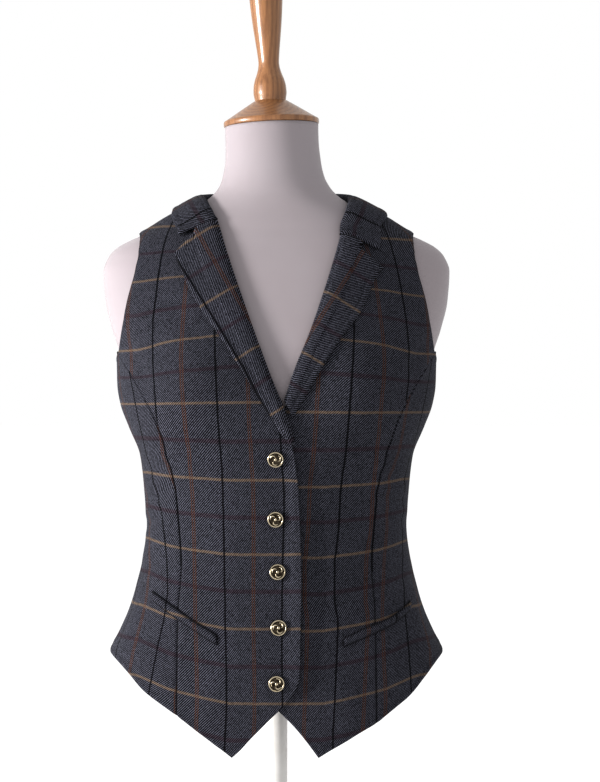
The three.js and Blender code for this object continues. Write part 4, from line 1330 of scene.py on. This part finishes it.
def button(index, brass):
    row = BUTTONS[index]
    bm = spun(softened(BUTTON_OUTLINE, 3), 56)
    dome = spun(BUTTON_DOME, 24)
    spare = bpy.data.meshes.new("dome")
    dome.to_mesh(spare)
    dome.free()
    bm.from_mesh(spare)
    bpy.data.meshes.remove(spare)
    first = len(bm.faces)
    for k in range(KNOT_ARMS):
        knot_arm(bm, 90 + 120 * k + 9 * index)
    bm.faces.ensure_lookup_table()
    bmesh.ops.recalc_face_normals(bm, faces=bm.faces[first:])
    hollow = bm.verts.layers.float.new("hollow")
    for vert in bm.verts:
        inside = math.hypot(vert.co.x, vert.co.y) < HOLLOW["within"] * MM
        sunk = 1 - (vert.co.z / MM - HOLLOW["floor"]) / HOLLOW["deep"]
        vert[hollow] = min(max(sunk, 0), 1) if inside else 0
    scale = bpy.context.scene.waistcoat_trim.button_radius / (7.8 * MM)
    turn = np.array(float(turn_at_out(-row["x"], row["z"])))
    z = np.array(float(row["z"]))
    normal = Vector(outward(-1, turn, z))
    rise = panel_height(z) + overlap_rise(-1, turn, z) + 0.3
    place = Vector(lifted(-1, turn, z, rise) * MM)
    turned = Vector((0, 0, 1)).rotation_difference(normal).to_matrix().to_4x4()
    matrix = Matrix.Translation(place) @ turned @ Matrix.Scale(scale, 4)
    bmesh.ops.transform(bm, matrix=matrix, verts=bm.verts[:])
    piece = mesh_piece(f"brass_button_{index + 1}", bm, brass)
    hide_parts(f"button_{index + 1}")


# Builders


def build_body():
    """Builds the fronts, sides and backs."""
    makers = {"front": front_panel, "side": side_panel, "back": back_panel}
    for hand in FRONTS:
        for part, make in makers.items():
            piece = make(hand)


def build_lapels():
    """Builds the two lapels."""
    for hand in FRONTS:
        piece = lapel(hand)


def build_collar():
    """Builds the collar."""
    piece = collar()


def build_welts():
    """Builds the two pocket welts."""
    for hand in FRONTS:
        piece = welt(hand)


def build_buttons():
    """Builds the five buttons."""
    brass = brass_material()
    for index in range(len(BUTTONS)):
        button(index, brass)


def area_light(name, place, aim, size, power, colour):
    data = bpy.data.lights.new(name, "AREA")
    data.shape = "DISK"
    data.size = size
    data.energy = power
    data.color = colour
    light = bpy.data.objects.new(name, data)
    light.location = place
    light.rotation_euler = (Vector(aim) - Vector(place)).to_track_quat("-Z", "Y").to_euler()
    bpy.context.scene.collection.objects.link(light)


FRAME_HEIGHT = 782  # the picture's height in pixels
CAMERA_PIXELS = 2200  # pixels for one unit of slope from the lens
CENTRE_OFF = 23.5  # how many pixels the centre line lies left of the picture's middle
SENSOR = 36
KEY_PLACE = (-3.1, -1.2, 0.72)
KEY_AIM = (0, 0, 0.45)
KEY_SIZE = 0.8
KEY_COLOUR = (1, 0.985, 0.97)
VIEW_GAMMA = 0.8
FLOOR_GLOW = 0.13
FLOOR_TONES = ((0.9, 0.9, 0.9, 1), (0.86, 0.86, 0.86, 1))


def build_stage():
    """Builds the floor, the lights and the camera."""
    scene = bpy.context.scene
    settings = scene.waistcoat_stage
    bm = bmesh.new()
    bmesh.ops.create_circle(bm, cap_ends=True, segments=96, radius=30)
    bmesh.ops.translate(bm, vec=(0, 0, -0.0005), verts=bm.verts[:])
    mesh = bpy.data.meshes.new("studio_floor")
    bm.to_mesh(mesh)
    bm.free()
    floor = bpy.data.objects.new("studio_floor", mesh)
    scene.collection.objects.link(floor)
    paper = Recipe("white paper floor")
    grain = paper.noise(object_coordinates(paper), 60.0, 3.0)
    paper.surface("Base Color", paper.blend(grain, *FLOOR_TONES))
    paper.surface("Roughness", 0.95)
    paper.surface("Specular IOR Level", 0.0)
    paper.surface("Emission Color", (1, 1, 1, 1))
    paper.surface("Emission Strength", FLOOR_GLOW)
    mesh.materials.append(paper.material)

    world = bpy.data.worlds.new("white studio")
    world.use_nodes = True
    world.node_tree.nodes["Background"].inputs[0].default_value = (1, 1, 1, 1)
    world.node_tree.nodes["Background"].inputs[1].default_value = settings.sky
    scene.world = world
    area_light("key", KEY_PLACE, KEY_AIM, KEY_SIZE, settings.key_power, KEY_COLOUR)
    scene.view_settings.view_transform = "Standard"
    scene.view_settings.gamma = VIEW_GAMMA

    data = bpy.data.cameras.new("camera")
    data.sensor_width = SENSOR
    data.lens = SENSOR * CAMERA_PIXELS / FRAME_HEIGHT
    data.shift_x = CENTRE_OFF / FRAME_HEIGHT
    data.clip_start = 0.05
    data.clip_end = 100
    camera = bpy.data.objects.new("camera", data)
    camera.location = (0, -settings.camera_distance, settings.camera_height)
    camera.rotation_euler = (math.pi / 2, 0, 0)
    scene.collection.objects.link(camera)
    scene.camera = camera


def operator(key, label, build):
    """An operator that runs one of the builders."""

    def execute(self, context):
        build()
        return {"FINISHED"}

    parts = {
        "bl_idname": f"waistcoat.{key}", "bl_label": label, "__doc__": build.__doc__, "execute": execute,
    }
    return type(f"WAISTCOAT_OT_{key}", (bpy.types.Operator,), parts)


PIECES = (
    operator("body", "Body panels", build_body),
    operator("lapels", "Lapels", build_lapels),
    operator("collar", "Collar", build_collar),
    operator("welts", "Pocket welts", build_welts),
    operator("buttons", "Buttons", build_buttons),
    operator("form", "Dress form", dress_form),
    operator("cap", "Neck cap", neck_cap),
    operator("stand", "Stand", stand),
    operator("stage", "Stage", build_stage),
)
SETTINGS = {
    "waistcoat_tweed": WaistcoatTweed,
    "waistcoat_cloth": WaistcoatCloth,
    "waistcoat_trim": WaistcoatTrim,
    "waistcoat_stand": WaistcoatStand,
    "waistcoat_stage": WaistcoatStage,
}


class WAISTCOAT_PT_panel(bpy.types.Panel):
    bl_label = "Waistcoat"
    bl_space_type = "VIEW_3D"
    bl_region_type = "UI"
    bl_category = "Waistcoat"

    def draw(self, context):
        for name, group in SETTINGS.items():
            box = self.layout.box()
            values = getattr(context.scene, name)
            for key in group.__annotations__:
                box.prop(values, key)
        for piece in PIECES:
            self.layout.operator(piece.bl_idname)


def register():
    for group in SETTINGS.values():
        bpy.utils.register_class(group)
    for name, group in SETTINGS.items():
        setattr(bpy.types.Scene, name, bpy.props.PointerProperty(type=group))
    for piece in PIECES:
        bpy.utils.register_class(piece)
    bpy.utils.register_class(WAISTCOAT_PT_panel)


def unregister():
    bpy.utils.unregister_class(WAISTCOAT_PT_panel)
    for piece in reversed(PIECES):
        bpy.utils.unregister_class(piece)
    for name, group in SETTINGS.items():
        delattr(bpy.types.Scene, name)
        bpy.utils.unregister_class(group)


def main():
    register()
    for piece in PIECES:
        group, name = piece.bl_idname.split(".")
        getattr(getattr(bpy.ops, group), name)()


if __name__ == "__main__":
    main()
